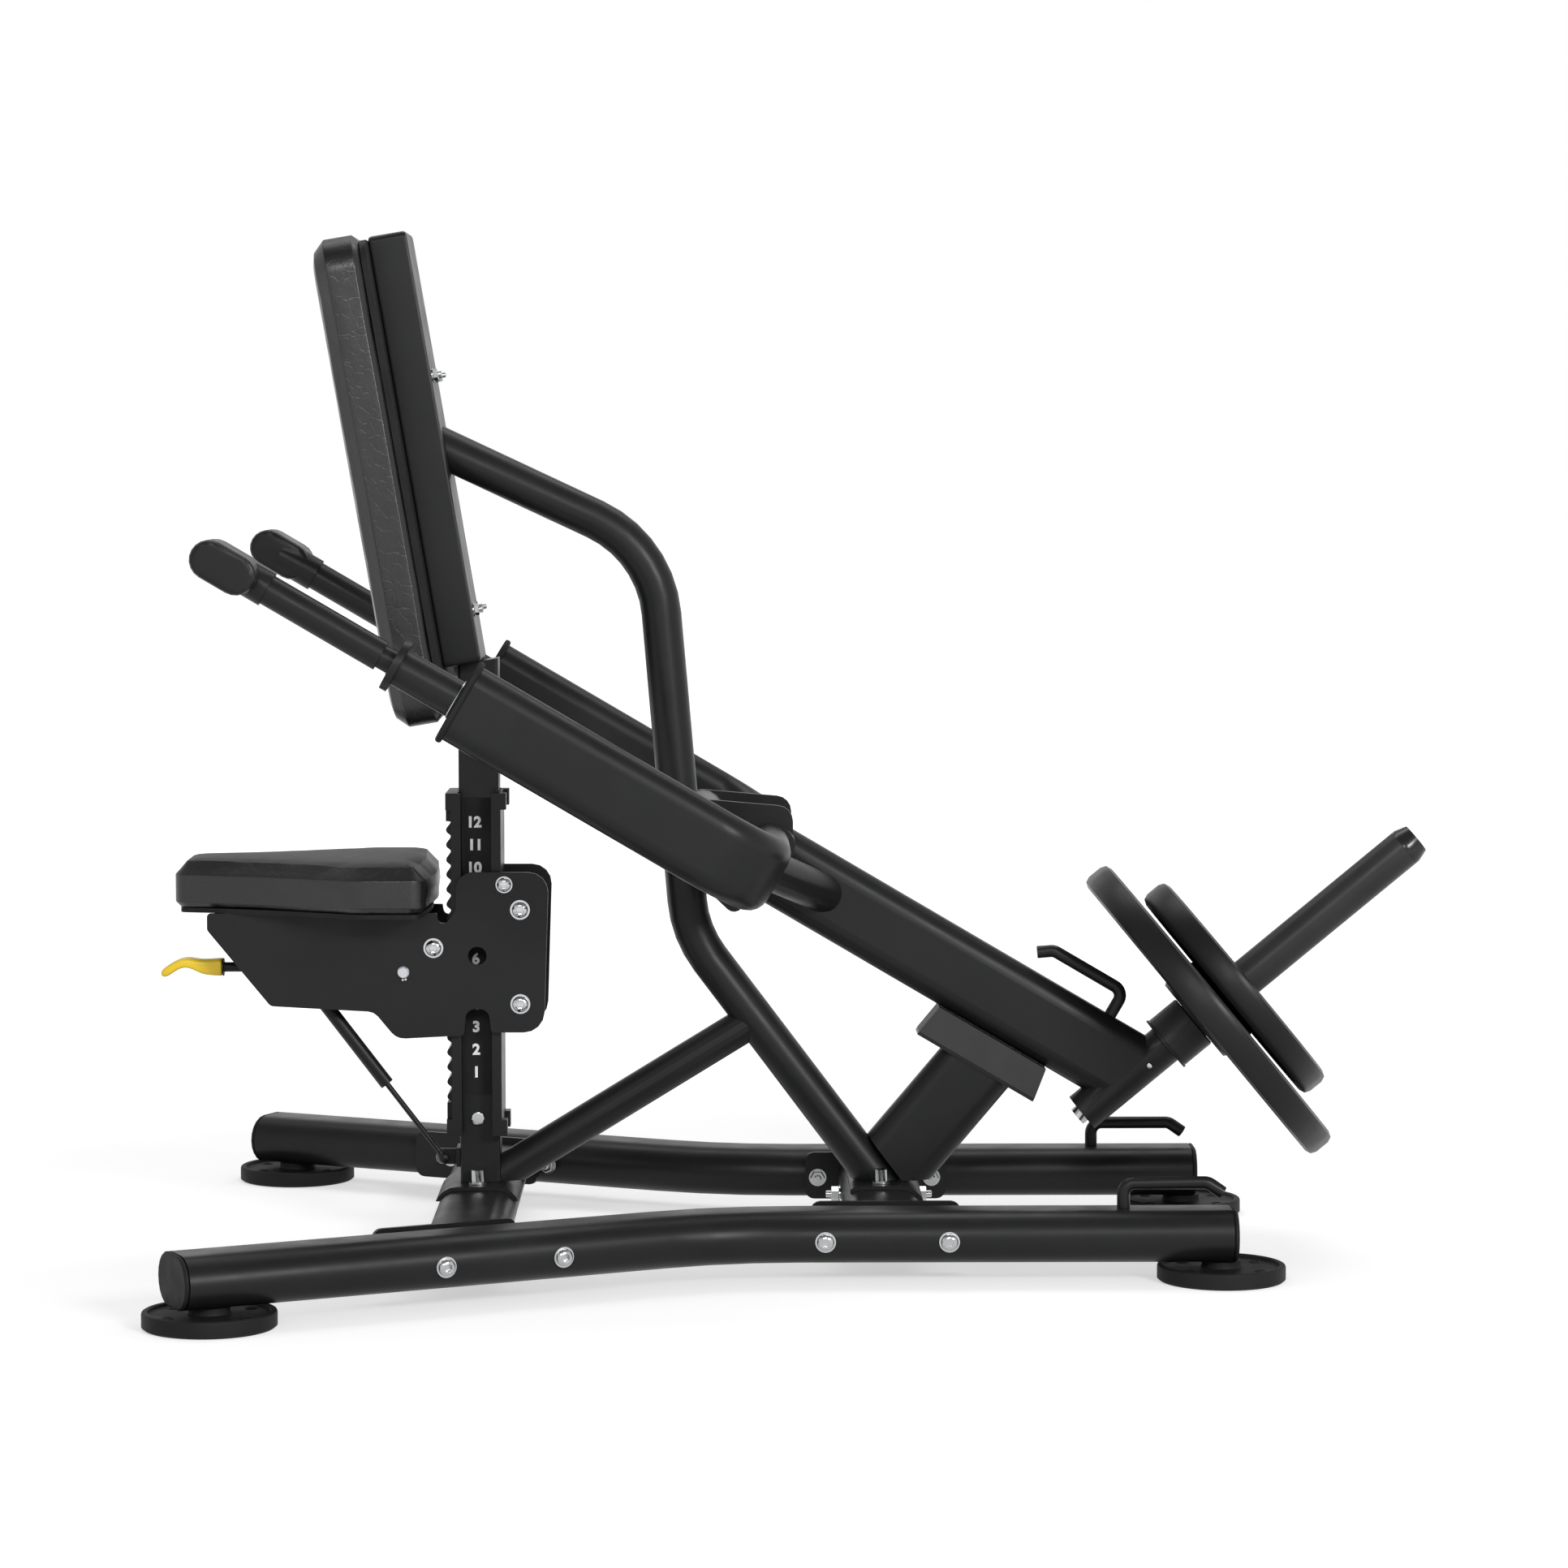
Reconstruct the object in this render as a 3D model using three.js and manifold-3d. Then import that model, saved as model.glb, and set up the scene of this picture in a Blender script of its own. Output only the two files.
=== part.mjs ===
import * as THREE from "three";
import { mergeVertices } from "three/addons/utils/BufferGeometryUtils.js";
import Module from "manifold-3d";

const wasm = await Module();
wasm.setup();

// A seated dip machine with a plate-loaded lever. X runs along the machine with the back of the
// seat towards +X, Y runs across it, Z is up from the floor.

// Clearances
const restGap = 0.3;
const runningGap = 0.5;
const seamDepth = 4;
const overrun = 20;
const reach = 2000;

// Fineness
const tubeSides = 20;
const smallSides = 12;
const plateSides = 40;
const cornerStep = Math.PI / 7;
const bendStep = Math.PI / 20;
const mitreLimit = 2;

// Whole machine
const middleX = 83.4;

// Floor rails
const railWidth = 100;
const railHeight = 64;
const railBottom = 25.5;
const railSpacing = 250;
const railRearEnd = 616;
const railCornerX = -5.8;
const railFrontLength = 704;
const railBendRadius = 400;
const railSplay = THREE.MathUtils.degToRad(25.6);
const railCapThickness = 6;
const railCapEdge = 2;

// Feet
const footRadius = 79;
const footHeight = 20;
const footEdge = 3;
const footRim = 8;
const footRecess = 4;
const footHubRadius = 24;
const footStemRadius = 8;
const footStemDepth = 22;
const frontFootInset = 39.5;
const rearFootInset = 11;

// Cross tubes between the rails
const crossWidth = 100;
const crossHeight = 50;
const crossCentreZ = 56;
const rearCrossX = 193.5;
const frontCrossX = -320;
const flangeLength = 186;
const flangeHeight = 62;
const flangeRise = 2.5;
const flangeThickness = 6;
const flangeCorner = 12;

// Saddles over the cross tubes
const saddleThickness = 5;
const saddleLength = 130;
const saddleSkirt = 12;
const rearSaddleFront = -40;
const saddleBoltOffset = 42;
const saddleBoltRadius = 6;
const saddleBoltHeadRadius = 8.3;
const saddleBoltHeadHeight = 16;
const saddleBoltWasherRadius = 12;
const saddleBoltWasherHeight = 2;
const saddleBoltDepth = 24;

// Band pegs
const pegRadius = 8;
const pegBend = 14;
const pegX = 484;
const pegRise = 30.5;
const pegRun = 104;
const pegTipRun = 18;
const pegTipDrop = 12.5;
const boomPegS = 485;
const boomPegRise = 34;

// Seat post with its rack, guide and number strip
const postWidth = 51;
const postX = -317.8;
const postEdge = 4;
const rackWidth = 100;
const rackBase = 8.4;
const rackWall = 6;
const rackWallDepth = 12.6;
const rackToothWidth = 76;
const rackToothDepth = 6.6;
const rackTeeth = 19;
const rackBottom = 149;
const rackTop = 585.4;
const rackBlockHeight = 21.4;
const toothedBottom = 190.4;
const toothedTop = 549.4;
const guideWeb = 3.2;
const guideFlange = 12;
const guideWall = 6;
const guideLugDepth = 6.8;
const guideLugHeight = 20.6;
const guideLugSlot = 30;
const stripWidth = 36;
const stripThickness = 1.2;
const stripBottom = 199;
const stripTop = 578;
const plugRadius = 8.5;
const plugLength = 4;
const plugEdge = 1;
const plugX = -320.4;
const plugZ = 168.3;

// Main tube, brace and stop
const mainRadius = 25.4;
const mainBend = 146;
const mainLean = THREE.MathUtils.degToRad(5);
const mainTopSlope = THREE.MathUtils.degToRad(25.1);
const mainFootSlope = THREE.MathUtils.degToRad(53.05);
const mainTopX = -93;
const mainTopZ = 894.5;
const mainLowerZ = 403.2;
const braceRadius = 22.7;
const braceSlope = THREE.MathUtils.degToRad(31.5);
const braceFootX = -284.7;
const braceFootZ = 97.9;
const braceLength = 380;
const stopWidth = 100;
const stopDepth = 50;
const stopSlope = THREE.MathUtils.degToRad(49.85);
const stopLength = 400;
const bumperLength = 171;
const bumperTopLength = 158;
const bumperWidth = 54;
const bumperHeight = 40;
const bumperPlate = 4;
const bumperS = 367.5;

// Back rest
const backLean = THREE.MathUtils.degToRad(9.7);
const backFrameRear = 180;
const backFrameDepth = 48.3;
const backFrameBottom = 794;
const backFrameTop = 1341;
const backFrameWidth = 130;
const backFrameEdge = 8;
const backBoardThickness = 7.7;
const backBoardInset = 14;
const backPadBottom = 724.5;
const backPadTop = 1350;
const backPadWidth = 284;
const backPadThickness = 60.7;
const backPadCorner = 46;
const backPadFrontBevel = 15;
const backPadRearBevel = 7.5;
const backPadCrown = 3;

// Pivot of the lever
const pivotX = 58.8;
const pivotZ = 524;
const leverSlope = THREE.MathUtils.degToRad(30.45);
const axleRadius = 12.5;
const axleHalf = 104;
const bracketInner = 77;
const bracketThickness = 8;
const bracketTurretX = -33.9;
const bracketTurretZ = 549.9;
const bracketTurretRadius = 30.5;

// Lever arms and boom
const boomHeight = 100;
const boomWidth = 50;
const boomDrop = 28.3;
const housingRadius = 24;
const armSpacing = 318;
const armElbowRadius = 75;
const armElbowS = -7.6;
const armInner = 92;
const armEnd = -422;
const bossLength = 26;
const gussetRadius = 25.4;
const gussetS = 81;
const gussetSlopeShare = 1.5;
const gussetArmY = 160;
const armCapHeight = 111;
const armCapWidth = 61;
const armCapThickness = 8;
const armCapEdge = 2;
const stubRadius = 23.75;
const stubEnd = -510;
const stubFlangeRadius = 34.5;
const stubFlangeThickness = 9;
const stubNeckRadius = 15;
const stubNeckLength = 17;
const handleRadius = 19.1;
const handleEnd = -727;
const gripLength = 84;
const gripHeight = 48;
const gripWidth = 85;
const gripInner = 300;
const gripS = -748;
const gripEdge = 6;
const gripNeckRadius = 22;
const gripNeckLength = 13;

// Horn and weight plates
const hornS = 546.2;
const hornTilt = THREE.MathUtils.degToRad(19.9);
const socketRadius = 26.2;
const socketBottom = -81.7;
const socketTop = 55.7;
const socketFloor = 20;
const socketFlangeRadius = 38.5;
const socketFlangeThickness = 3.3;
const hornShankRadius = 16;
const collarRadius = 36.8;
const collarTop = 103.4;
const collarEdge = 2;
const hornRadius = 25;
const hornTop = 450;
const hornCapLength = 20.5;
const hornCapRadius = 20;
const hornBoltRadius = 6;
const hornBoltHeadRadius = 12;
const hornBoltHeadHeight = 8;
const largePlateRadius = 227.5;
const largePlateRim = 39;
const largePlateHub = 46.4;
const largePlateWeb = 20;
const smallPlateRadius = 163;
const smallPlateRim = 38.5;
const smallPlateHub = 39.5;
const smallPlateWeb = 18;
const plateRimWidthShare = 0.13;
const plateHubRadiusShare = 0.27;
const plateRoundShare = 0.26;
const plateArcShare = 0.29;

// Carriage
const carriageLeft = -659;
const carriageRight = -227.9;
const carriageBottom = 275;
const carriageTop = 486.4;
const carriageInner = 56;
const carriageThickness = 6;
const spacerHeight = 22;
const spacerWidth = 30;
const frontSpacerX = -635;
const middleSpacerX = -480;
const windowX = -318.4;
const windowZ = 380.4;
const windowRadius = 12;
const rollerRadius = 24.2;
const rollerWidth = 44;
const rollerX = -264.1;
const upperRollerZ = 439;
const lowerRollerZ = 319.4;
const frontRollerRadius = 14.3;
const frontRollerX = -373.6;
const frontRollerZ = 390.7;
const rollerAxleRadius = 6;
const rollerHeadRadius = 10;
const rollerHeadHeight = 6;

// Seat
const seatLength = 339.5;
const seatRackGap = 7.2;
const seatWidth = 302;
const seatTop = 501.5;
const seatPadBottom = 441;
const seatCorner = 22;
const seatShoulder = 60;
const seatTopBevel = 16;
const seatBottomBevel = 7;
const seatCrown = 3;
const boardGap = 0.4;
const boardThickness = 5.8;
const boardInset = 11;

// Latch lever
const latchX = -411.7;
const latchZ = 359.9;
const latchRodRadius = 6.25;
const latchRodEnd = -660;
const latchPinRadius = 5;
const latchPinHalf = 67;
const latchHubRadius = 11;
const latchHubWidth = 56;
const latchPaddleTip = -724.5;
const latchPaddleWidth = 30;
const latchPaddleRoot = -645.8;
const latchPaddleHeight = 22;
const latchPaddleEdge = 2.5;
const pawlThickness = 14;
const pawlWidth = 40;
const pawlClearance = 0.6;

// Gas spring
const springY = -20;
const springBallX = -364;
const springBallZ = 117.1;
const springTilt = THREE.MathUtils.degToRad(37.3);
const springLength = 356;
const springCylinderFoot = 119.2;
const springCylinderRadius = 9;
const springRodRadius = 4;
const springRodLength = 235;
const springBallRadius = 8;
const springEyeRadius = 8;
const springEyeWidth = 20;
const springBoreEndShare = 1.2;
const springPinRadius = 4;
const springBracketWall = 5;
const springWallGap = 2;
const springFootWidth = 40;
const springFootHeight = 24;
const springBracketHeight = 20;

const up = new THREE.Vector3(0, 0, 1);
const across = new THREE.Vector3(0, 1, 0);
const along = new THREE.Vector3(1, 0, 0);
const sides = { left: -1, right: 1 };

// A closed geometry as a solid that can be joined and cut.
function solid(geometry, matrix = new THREE.Matrix4()) {
  const bare = geometry.clone().applyMatrix4(matrix);
  bare.deleteAttribute("normal");
  bare.deleteAttribute("uv");
  const merged = mergeVertices(bare, 1e-4);
  const vertProperties = new Float32Array(merged.getAttribute("position").array);
  const triVerts = new Uint32Array(merged.index.array);
  return new wasm.Manifold(new wasm.Mesh({ numProp: 3, vertProperties, triVerts }));
}

function join(first, ...others) {
  return others.reduce((whole, other) => whole.add(other), first);
}

function cut(first, ...tools) {
  return tools.reduce((whole, tool) => whole.subtract(tool), first);
}

// A named mesh from a solid, with flat shading.
function piece(name, body, finish) {
  const { vertProperties, triVerts, numProp } = body.getMesh();
  const positions = new Float32Array(triVerts.length * 3);
  triVerts.forEach((vertex, corner) => {
    const start = vertex * numProp;
    positions.set(vertProperties.subarray(start, start + 3), corner * 3);
  });
  const geometry = new THREE.BufferGeometry();
  geometry.setAttribute("position", new THREE.BufferAttribute(positions, 3));
  geometry.computeVertexNormals();
  const mesh = new THREE.Mesh(geometry, new THREE.MeshStandardMaterial(finish));
  mesh.name = name;
  return mesh;
}

// The points of a closed outline or an open route whose corners are rounded. Each corner is
// { at, radius }. Every point comes with the direction of travel there.
function rounded(corners, closed) {
  const stepAngle = closed ? cornerStep : bendStep;
  const count = corners.length;
  const points = [];
  corners.forEach(({ at, radius = 0 }, index) => {
    const isEnd = !closed && (index === 0 || index === count - 1);
    const before = corners[(index + count - 1) % count].at;
    const after = corners[(index + 1) % count].at;
    const arrive = at.clone().sub(before).normalize();
    const leave = after.clone().sub(at).normalize();
    if (isEnd) {
      points.push({ at: at.clone(), direction: index === 0 ? leave : arrive });
      return;
    }
    const turn = arrive.angleTo(leave);
    const inward = leave.clone().addScaledVector(arrive, -leave.dot(arrive)).normalize();
    if (radius === 0) {
      points.push({ at: at.clone(), direction: arrive.clone().add(leave).normalize() });
      return;
    }
    const tangent = radius * Math.tan(turn / 2);
    const start = at.clone().addScaledVector(arrive, -tangent);
    const steps = Math.max(1, Math.ceil(turn / stepAngle));
    for (let step = 0; step <= steps; step += 1) {
      const angle = (turn * step) / steps;
      const place = start
        .clone()
        .addScaledVector(arrive, radius * Math.sin(angle))
        .addScaledVector(inward, radius * (1 - Math.cos(angle)));
      const direction = arrive
        .clone()
        .multiplyScalar(Math.cos(angle))
        .addScaledVector(inward, Math.sin(angle));
      points.push({ at: place, direction });
    }
  });
  return points;
}

// An outline from rows of [x, y, radius].
function outline(rows) {
  const corners = rows.map(([x, y, radius]) => ({ at: new THREE.Vector3(x, y, 0), radius }));
  return new THREE.Shape(rounded(corners, true).map(({ at }) => new THREE.Vector2(at.x, at.y)));
}

function box(width, height, radius = 0) {
  return outline([
    [-width / 2, -height / 2, radius],
    [width / 2, -height / 2, radius],
    [width / 2, height / 2, radius],
    [-width / 2, height / 2, radius],
  ]);
}

function circle(radius, count = tubeSides) {
  const points = [];
  for (let side = 0; side < count; side += 1) {
    const angle = (2 * Math.PI * side) / count;
    points.push(new THREE.Vector2(radius * Math.cos(angle), radius * Math.sin(angle)));
  }
  return new THREE.Shape(points);
}

// A flat-oval outline, the longer size along x.
function oval(length, width) {
  const half = length / 2 - width / 2;
  const points = [];
  const steps = tubeSides / 2;
  for (const end of [1, -1]) {
    for (let step = 0; step <= steps; step += 1) {
      const angle = (Math.PI * step) / steps - Math.PI / 2;
      const x = end * (half + (width / 2) * Math.cos(angle));
      points.push(new THREE.Vector2(x, end * (width / 2) * Math.sin(angle)));
    }
  }
  return new THREE.Shape(points);
}

// An outline pushed along +Z, with an optional rounded or bevelled edge kept inside it.
function pushed(shape, length, edge = 0, edgeSteps = 2) {
  const geometry = new THREE.ExtrudeGeometry(shape, {
    depth: length - 2 * edge,
    bevelEnabled: edge > 0,
    bevelThickness: edge,
    bevelSize: edge,
    bevelOffset: -edge,
    bevelSegments: edgeSteps,
    curveSegments: 1,
  });
  return geometry.translate(0, 0, edge);
}

// The outline's x and y lie along the first and second axes, the push along their cross product.
function pose(at, first, second) {
  const third = first.clone().cross(second);
  return new THREE.Matrix4().makeBasis(first, second, third).setPosition(at);
}

// An outline in x and z, pushed along y between two places.
function slab(shape, from, to, edge) {
  const back = new THREE.Vector3(0, to, 0);
  return solid(pushed(shape, to - from, edge), pose(back, along, up));
}

// An outline in y and z, pushed along x between two places.
function beam(shape, from, to, edge) {
  return solid(pushed(shape, to - from, edge), pose(new THREE.Vector3(from, 0, 0), across, up));
}

// An outline in x and y, pushed up between two heights.
function column(shape, from, to, edge) {
  return solid(pushed(shape, to - from, edge).translate(0, 0, from));
}

// A round bar from one place to another.
function rod(radius, from, to, count = tubeSides) {
  const direction = to.clone().sub(from);
  const turn = new THREE.Quaternion().setFromUnitVectors(up, direction.clone().normalize());
  const matrix = new THREE.Matrix4().makeRotationFromQuaternion(turn).setPosition(from);
  return solid(pushed(circle(radius, count), direction.length()), matrix);
}

// A turned body from rows of [radius, height], along +Z.
function turned(rows, count = tubeSides) {
  const profile = rows.map(([radius, height]) => new THREE.Vector2(radius, height));
  return new THREE.LatheGeometry(profile, count).rotateX(Math.PI / 2);
}

// A section carried along a planar route. The section's x lies along the plane's normal.
function swept(section, route, normal) {
  const steps = route.length - 1;
  const geometry = new THREE.ExtrudeGeometry(section, {
    depth: steps,
    steps,
    bevelEnabled: false,
    curveSegments: 1,
  });
  const position = geometry.getAttribute("position");
  for (let index = 0; index < position.count; index += 1) {
    const { at, direction } = route[Math.round(position.getZ(index))];
    const sideways = direction.clone().cross(normal);
    const place = at
      .clone()
      .addScaledVector(normal, position.getX(index))
      .addScaledVector(sideways, position.getY(index));
    position.setXYZ(index, place.x, place.y, place.z);
  }
  return solid(geometry);
}

// A body of stacked copies of one outline. Each layer has a height and an inset from the outline.
function layered(shape, layers) {
  const points = shape.getPoints();
  const count = points.length;
  const inward = points.map((point, index) => {
    const ahead = points[(index + 1) % count];
    const behind = points[(index + count - 1) % count];
    const arrive = point.clone().sub(behind).normalize();
    const leave = ahead.clone().sub(point).normalize();
    const normal = new THREE.Vector2(-(arrive.y + leave.y), arrive.x + leave.x).normalize();
    const facing = normal.dot(new THREE.Vector2(-arrive.y, arrive.x));
    const stretch = Math.min(mitreLimit, 1 / facing);
    return normal.multiplyScalar(stretch);
  });
  const steps = layers.length - 1;
  const geometry = new THREE.ExtrudeGeometry(shape, {
    depth: steps,
    steps,
    bevelEnabled: false,
    curveSegments: 1,
  });
  const position = geometry.getAttribute("position");
  for (let index = 0; index < position.count; index += 1) {
    const place = new THREE.Vector2(position.getX(index), position.getY(index));
    const distances = points.map((point) => point.distanceTo(place));
    const nearest = distances.indexOf(Math.min(...distances));
    const { height, inset } = layers[Math.round(position.getZ(index))];
    place.addScaledVector(inward[nearest], inset);
    position.setXYZ(index, place.x, place.y, height);
  }
  return geometry;
}

const point = (x, y, z) => new THREE.Vector3(x, y, z);

// Finishes
const paint = { color: 0x2b2c2e, roughness: 0.45, metalness: 0.4 };
const darkPaint = { color: 0x232426, roughness: 0.5, metalness: 0.4 };
const vinyl = { color: 0x1b1b1d, roughness: 0.55, metalness: 0 };
const rubber = { color: 0x202022, roughness: 0.75, metalness: 0 };
const chrome = { color: 0xd6d8da, roughness: 0.18, metalness: 1 };
const castIron = { color: 0x2a2a2c, roughness: 0.6, metalness: 0.3 };
const yellow = { color: 0xd7b41e, roughness: 0.4, metalness: 0 };
const plastic = { color: 0x1e1e20, roughness: 0.5, metalness: 0 };
const label = { color: 0x161618, roughness: 0.4, metalness: 0 };

// Base
const railMiddleZ = railBottom + railHeight / 2;
const railSection = oval(railWidth, railHeight);
const railFrontX = railCornerX - railFrontLength * Math.cos(railSplay);
const railFrontY = railSpacing + railFrontLength * Math.sin(railSplay);
const crossSection = oval(crossWidth, crossHeight);
const crossTop = crossCentreZ + crossHeight / 2;
const saddleTop = crossTop + restGap + saddleThickness;
const frontCrossY = railSpacing + (railCornerX - frontCrossX) * Math.tan(railSplay);

// The direction along a splayed rail towards its front end, and the one square to it, outwards.
function splayed(side) {
  const forward = point(-Math.cos(railSplay), side * Math.sin(railSplay), 0);
  const outward = point(Math.sin(railSplay), side * Math.cos(railSplay), 0);
  return { forward, outward };
}

function railRoute(side) {
  const corners = [
    { at: point(railRearEnd, side * railSpacing, railMiddleZ) },
    { at: point(railCornerX, side * railSpacing, railMiddleZ), radius: railBendRadius },
    { at: point(railFrontX, side * railFrontY, railMiddleZ) },
  ];
  return rounded(corners, false);
}

// The rail's outline stands with its longer size across the floor.
function turnedSection(shape) {
  return new THREE.Shape(shape.getPoints().map(({ x, y }) => new THREE.Vector2(-y, x)));
}

function footPlaces(side) {
  const { forward } = splayed(side);
  const front = point(railFrontX, side * railFrontY, 0).addScaledVector(forward, -frontFootInset);
  const rear = point(railRearEnd - rearFootInset, side * railSpacing, 0);
  return { front, rear };
}

function rail(side) {
  const { front, rear } = footPlaces(side);
  const stem = (place, z) => place.clone().setZ(z);
  const holeRadius = footStemRadius + restGap;
  const holeTop = railBottom + footStemDepth + restGap;
  return cut(
    swept(turnedSection(railSection), railRoute(side), up),
    rod(holeRadius, stem(front, 0), stem(front, holeTop), smallSides),
    rod(holeRadius, stem(rear, 0), stem(rear, holeTop), smallSides),
  );
}

function railCap(at, outward) {
  const matrix = pose(at, outward.clone().cross(up).negate(), up);
  const cap = pushed(railSection, railCapThickness, railCapEdge, 1);
  return solid(cap, matrix);
}

function foot(place) {
  const hubTop = railBottom - restGap;
  const stemTop = railBottom + footStemDepth;
  const rows = [
    [0, 0],
    [footRadius, 0],
    [footRadius, footHeight - footEdge],
    [footRadius - footEdge, footHeight],
    [footRadius - footRim, footHeight],
    [footRadius - footRim - footEdge, footHeight - footRecess],
    [footHubRadius, footHeight - footRecess],
    [footHubRadius, hubTop],
    [footStemRadius, hubTop],
    [footStemRadius, stemTop],
    [0, stemTop],
  ];
  return solid(turned(rows), new THREE.Matrix4().setPosition(place));
}

// A cross tube of flat-oval section laid flat, with a flange plate against each rail.
function flange(side, at, facing) {
  const sideways = facing.clone().cross(up).negate();
  const start = at.clone().addScaledVector(facing, -flangeThickness).addScaledVector(up, flangeRise);
  const plate = pushed(box(flangeLength, flangeHeight, flangeCorner), flangeThickness);
  return solid(plate, pose(start, sideways, up));
}

function crossTube(x, halfLength) {
  const matrix = pose(point(x, -halfLength, crossCentreZ), along, up.clone().negate());
  return solid(pushed(crossSection, 2 * halfLength), matrix);
}

function rearCross() {
  const face = railSpacing - railWidth / 2 - restGap;
  const plates = Object.values(sides).map((side) =>
    flange(side, point(rearCrossX, side * face, crossCentreZ), point(0, side, 0)),
  );
  return join(crossTube(rearCrossX, face - flangeThickness / 2), ...plates);
}

function frontCross() {
  const plates = [];
  const trims = [];
  for (const side of Object.values(sides)) {
    const { outward } = splayed(side);
    const face = point(frontCrossX, side * frontCrossY, crossCentreZ).addScaledVector(
      outward,
      -(railWidth / 2 + restGap),
    );
    plates.push(flange(side, face, outward));
    const start = face.clone().addScaledVector(outward, -flangeThickness / 2);
    const sideways = outward.clone().cross(up).negate();
    trims.push(solid(pushed(box(2 * reach, 2 * reach), reach), pose(start, sideways, up)));
  }
  return join(cut(crossTube(frontCrossX, frontCrossY), ...trims), ...plates);
}

// A formed plate wrapped over the top of a cross tube, from a place across the tube rearwards.
function saddle(x, front) {
  const outerWidth = crossWidth + 2 * (saddleThickness + restGap);
  const outerHeight = crossHeight + 2 * (saddleThickness + restGap);
  const inner = oval(crossWidth + 2 * restGap, crossHeight + 2 * restGap);
  const half = saddleLength / 2;
  const place = new THREE.Matrix4().makeTranslation(x, half, crossCentreZ);
  const lay = pose(new THREE.Vector3(), along, up).premultiply(place);
  const outer = solid(pushed(oval(outerWidth, outerHeight), saddleLength), lay);
  const hollow = slab(inner, -half - overrun, half + overrun);
  const below = slab(box(2 * outerWidth, outerHeight), -half - overrun, half + overrun);
  const before = slab(box(outerWidth, 2 * outerHeight), -half - overrun, half + overrun);
  const hole = saddleBoltPlace(x);
  return cut(
    outer,
    hollow.translate(x, 0, crossCentreZ),
    below.translate(x, 0, crossCentreZ + saddleSkirt - outerHeight / 2),
    before.translate(x + front - outerWidth / 2, 0, crossCentreZ),
    rod(saddleBoltRadius + restGap, hole.clone().setZ(crossCentreZ), hole, smallSides),
  );
}

function saddleBoltPlace(x) {
  return point(x, -saddleBoltOffset, saddleTop + overrun);
}

function saddleBolt(x) {
  const washerTop = saddleBoltWasherHeight;
  const headTop = washerTop + saddleBoltHeadHeight;
  const rows = [
    [0, -saddleBoltDepth],
    [saddleBoltRadius, -saddleBoltDepth],
    [saddleBoltRadius, 0],
    [saddleBoltWasherRadius, 0],
    [saddleBoltWasherRadius, washerTop],
    [saddleBoltHeadRadius, washerTop],
    [saddleBoltHeadRadius, headTop],
    [0, headTop],
  ];
  const place = point(x, -saddleBoltOffset, saddleTop + restGap);
  return solid(turned(rows, smallSides), new THREE.Matrix4().setPosition(place));
}

// A cross tube gets a hole under its saddle's bolt.
function drilled(body, x) {
  const top = point(x, -saddleBoltOffset, saddleTop);
  const floor = top.clone().setZ(saddleTop - saddleBoltDepth - restGap);
  return cut(body, rod(saddleBoltRadius + restGap, floor, top, smallSides));
}

// A bent rod that rises, runs level and dips at its tip. The run goes towards the given side.
function peg(x, y, z, rise, run) {
  const top = z + rise;
  const level = x + run;
  const tip = level + Math.sign(run) * pegTipRun;
  const corners = [
    { at: point(x, y, z) },
    { at: point(x, y, top), radius: pegBend },
    { at: point(level, y, top), radius: pegBend },
    { at: point(tip, y, top - pegTipDrop) },
  ];
  return swept(circle(pegRadius, smallSides), rounded(corners, false), across);
}

const base = new THREE.Group();
for (const [name, side] of Object.entries(sides)) {
  const { forward } = splayed(side);
  const frontEnd = point(railFrontX, side * railFrontY, railMiddleZ);
  const rearEnd = point(railRearEnd + restGap, side * railSpacing, railMiddleZ);
  const feet = footPlaces(side);
  const capStart = frontEnd.addScaledVector(forward, restGap);
  const railTop = railBottom + railHeight + restGap;
  base.add(
    piece(`rail_${name}`, rail(side), paint),
    piece(`rail_cap_${name}_front`, railCap(capStart, forward), plastic),
    piece(`rail_cap_${name}_rear`, railCap(rearEnd, along), plastic),
    piece(`foot_${name}_front`, foot(feet.front), darkPaint),
    piece(`foot_${name}_rear`, foot(feet.rear), darkPaint),
    piece(`band_peg_${name}`, peg(pegX, side * railSpacing, railTop, pegRise, pegRun), paint),
  );
}
base.add(
  piece("front_cross_tube", drilled(frontCross(), frontCrossX), paint),
  piece("rear_cross_tube", drilled(rearCross(), rearCrossX), paint),
  piece("front_saddle", saddle(frontCrossX, -crossWidth), paint),
  piece("rear_saddle", saddle(rearCrossX, rearSaddleFront), paint),
  piece("saddle_bolt_front", saddleBolt(frontCrossX), chrome),
  piece("saddle_bolt_rear", saddleBolt(rearCrossX), chrome),
);

// Placed frames: the back rest leans back, the lever slopes down behind its pivot.
const backPose = new THREE.Matrix4().makeRotationY(-backLean);
const leverPose = new THREE.Matrix4().makeRotationY(leverSlope).setPosition(pivotX, 0, pivotZ);

const inBack = (body) => body.transform(backPose.elements);
const inLever = (body) => body.transform(leverPose.elements);

// Main tube, brace and stop
const mainFootX = mainTopX + (mainTopZ - mainLowerZ) * Math.tan(mainLean);

function mainRoute() {
  const topDirection = point(-Math.cos(mainTopSlope), 0, Math.sin(mainTopSlope));
  const footDirection = point(Math.cos(mainFootSlope), 0, -Math.sin(mainFootSlope));
  const upper = point(mainTopX, 0, mainTopZ);
  const lower = point(mainFootX, 0, mainLowerZ);
  const corners = [
    { at: upper.clone().addScaledVector(topDirection, stopLength) },
    { at: upper, radius: mainBend },
    { at: lower, radius: mainBend },
    { at: lower.clone().addScaledVector(footDirection, stopLength + railWidth) },
  ];
  return rounded(corners, false);
}

function mainBar(radius) {
  return swept(circle(radius), mainRoute(), across);
}

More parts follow.
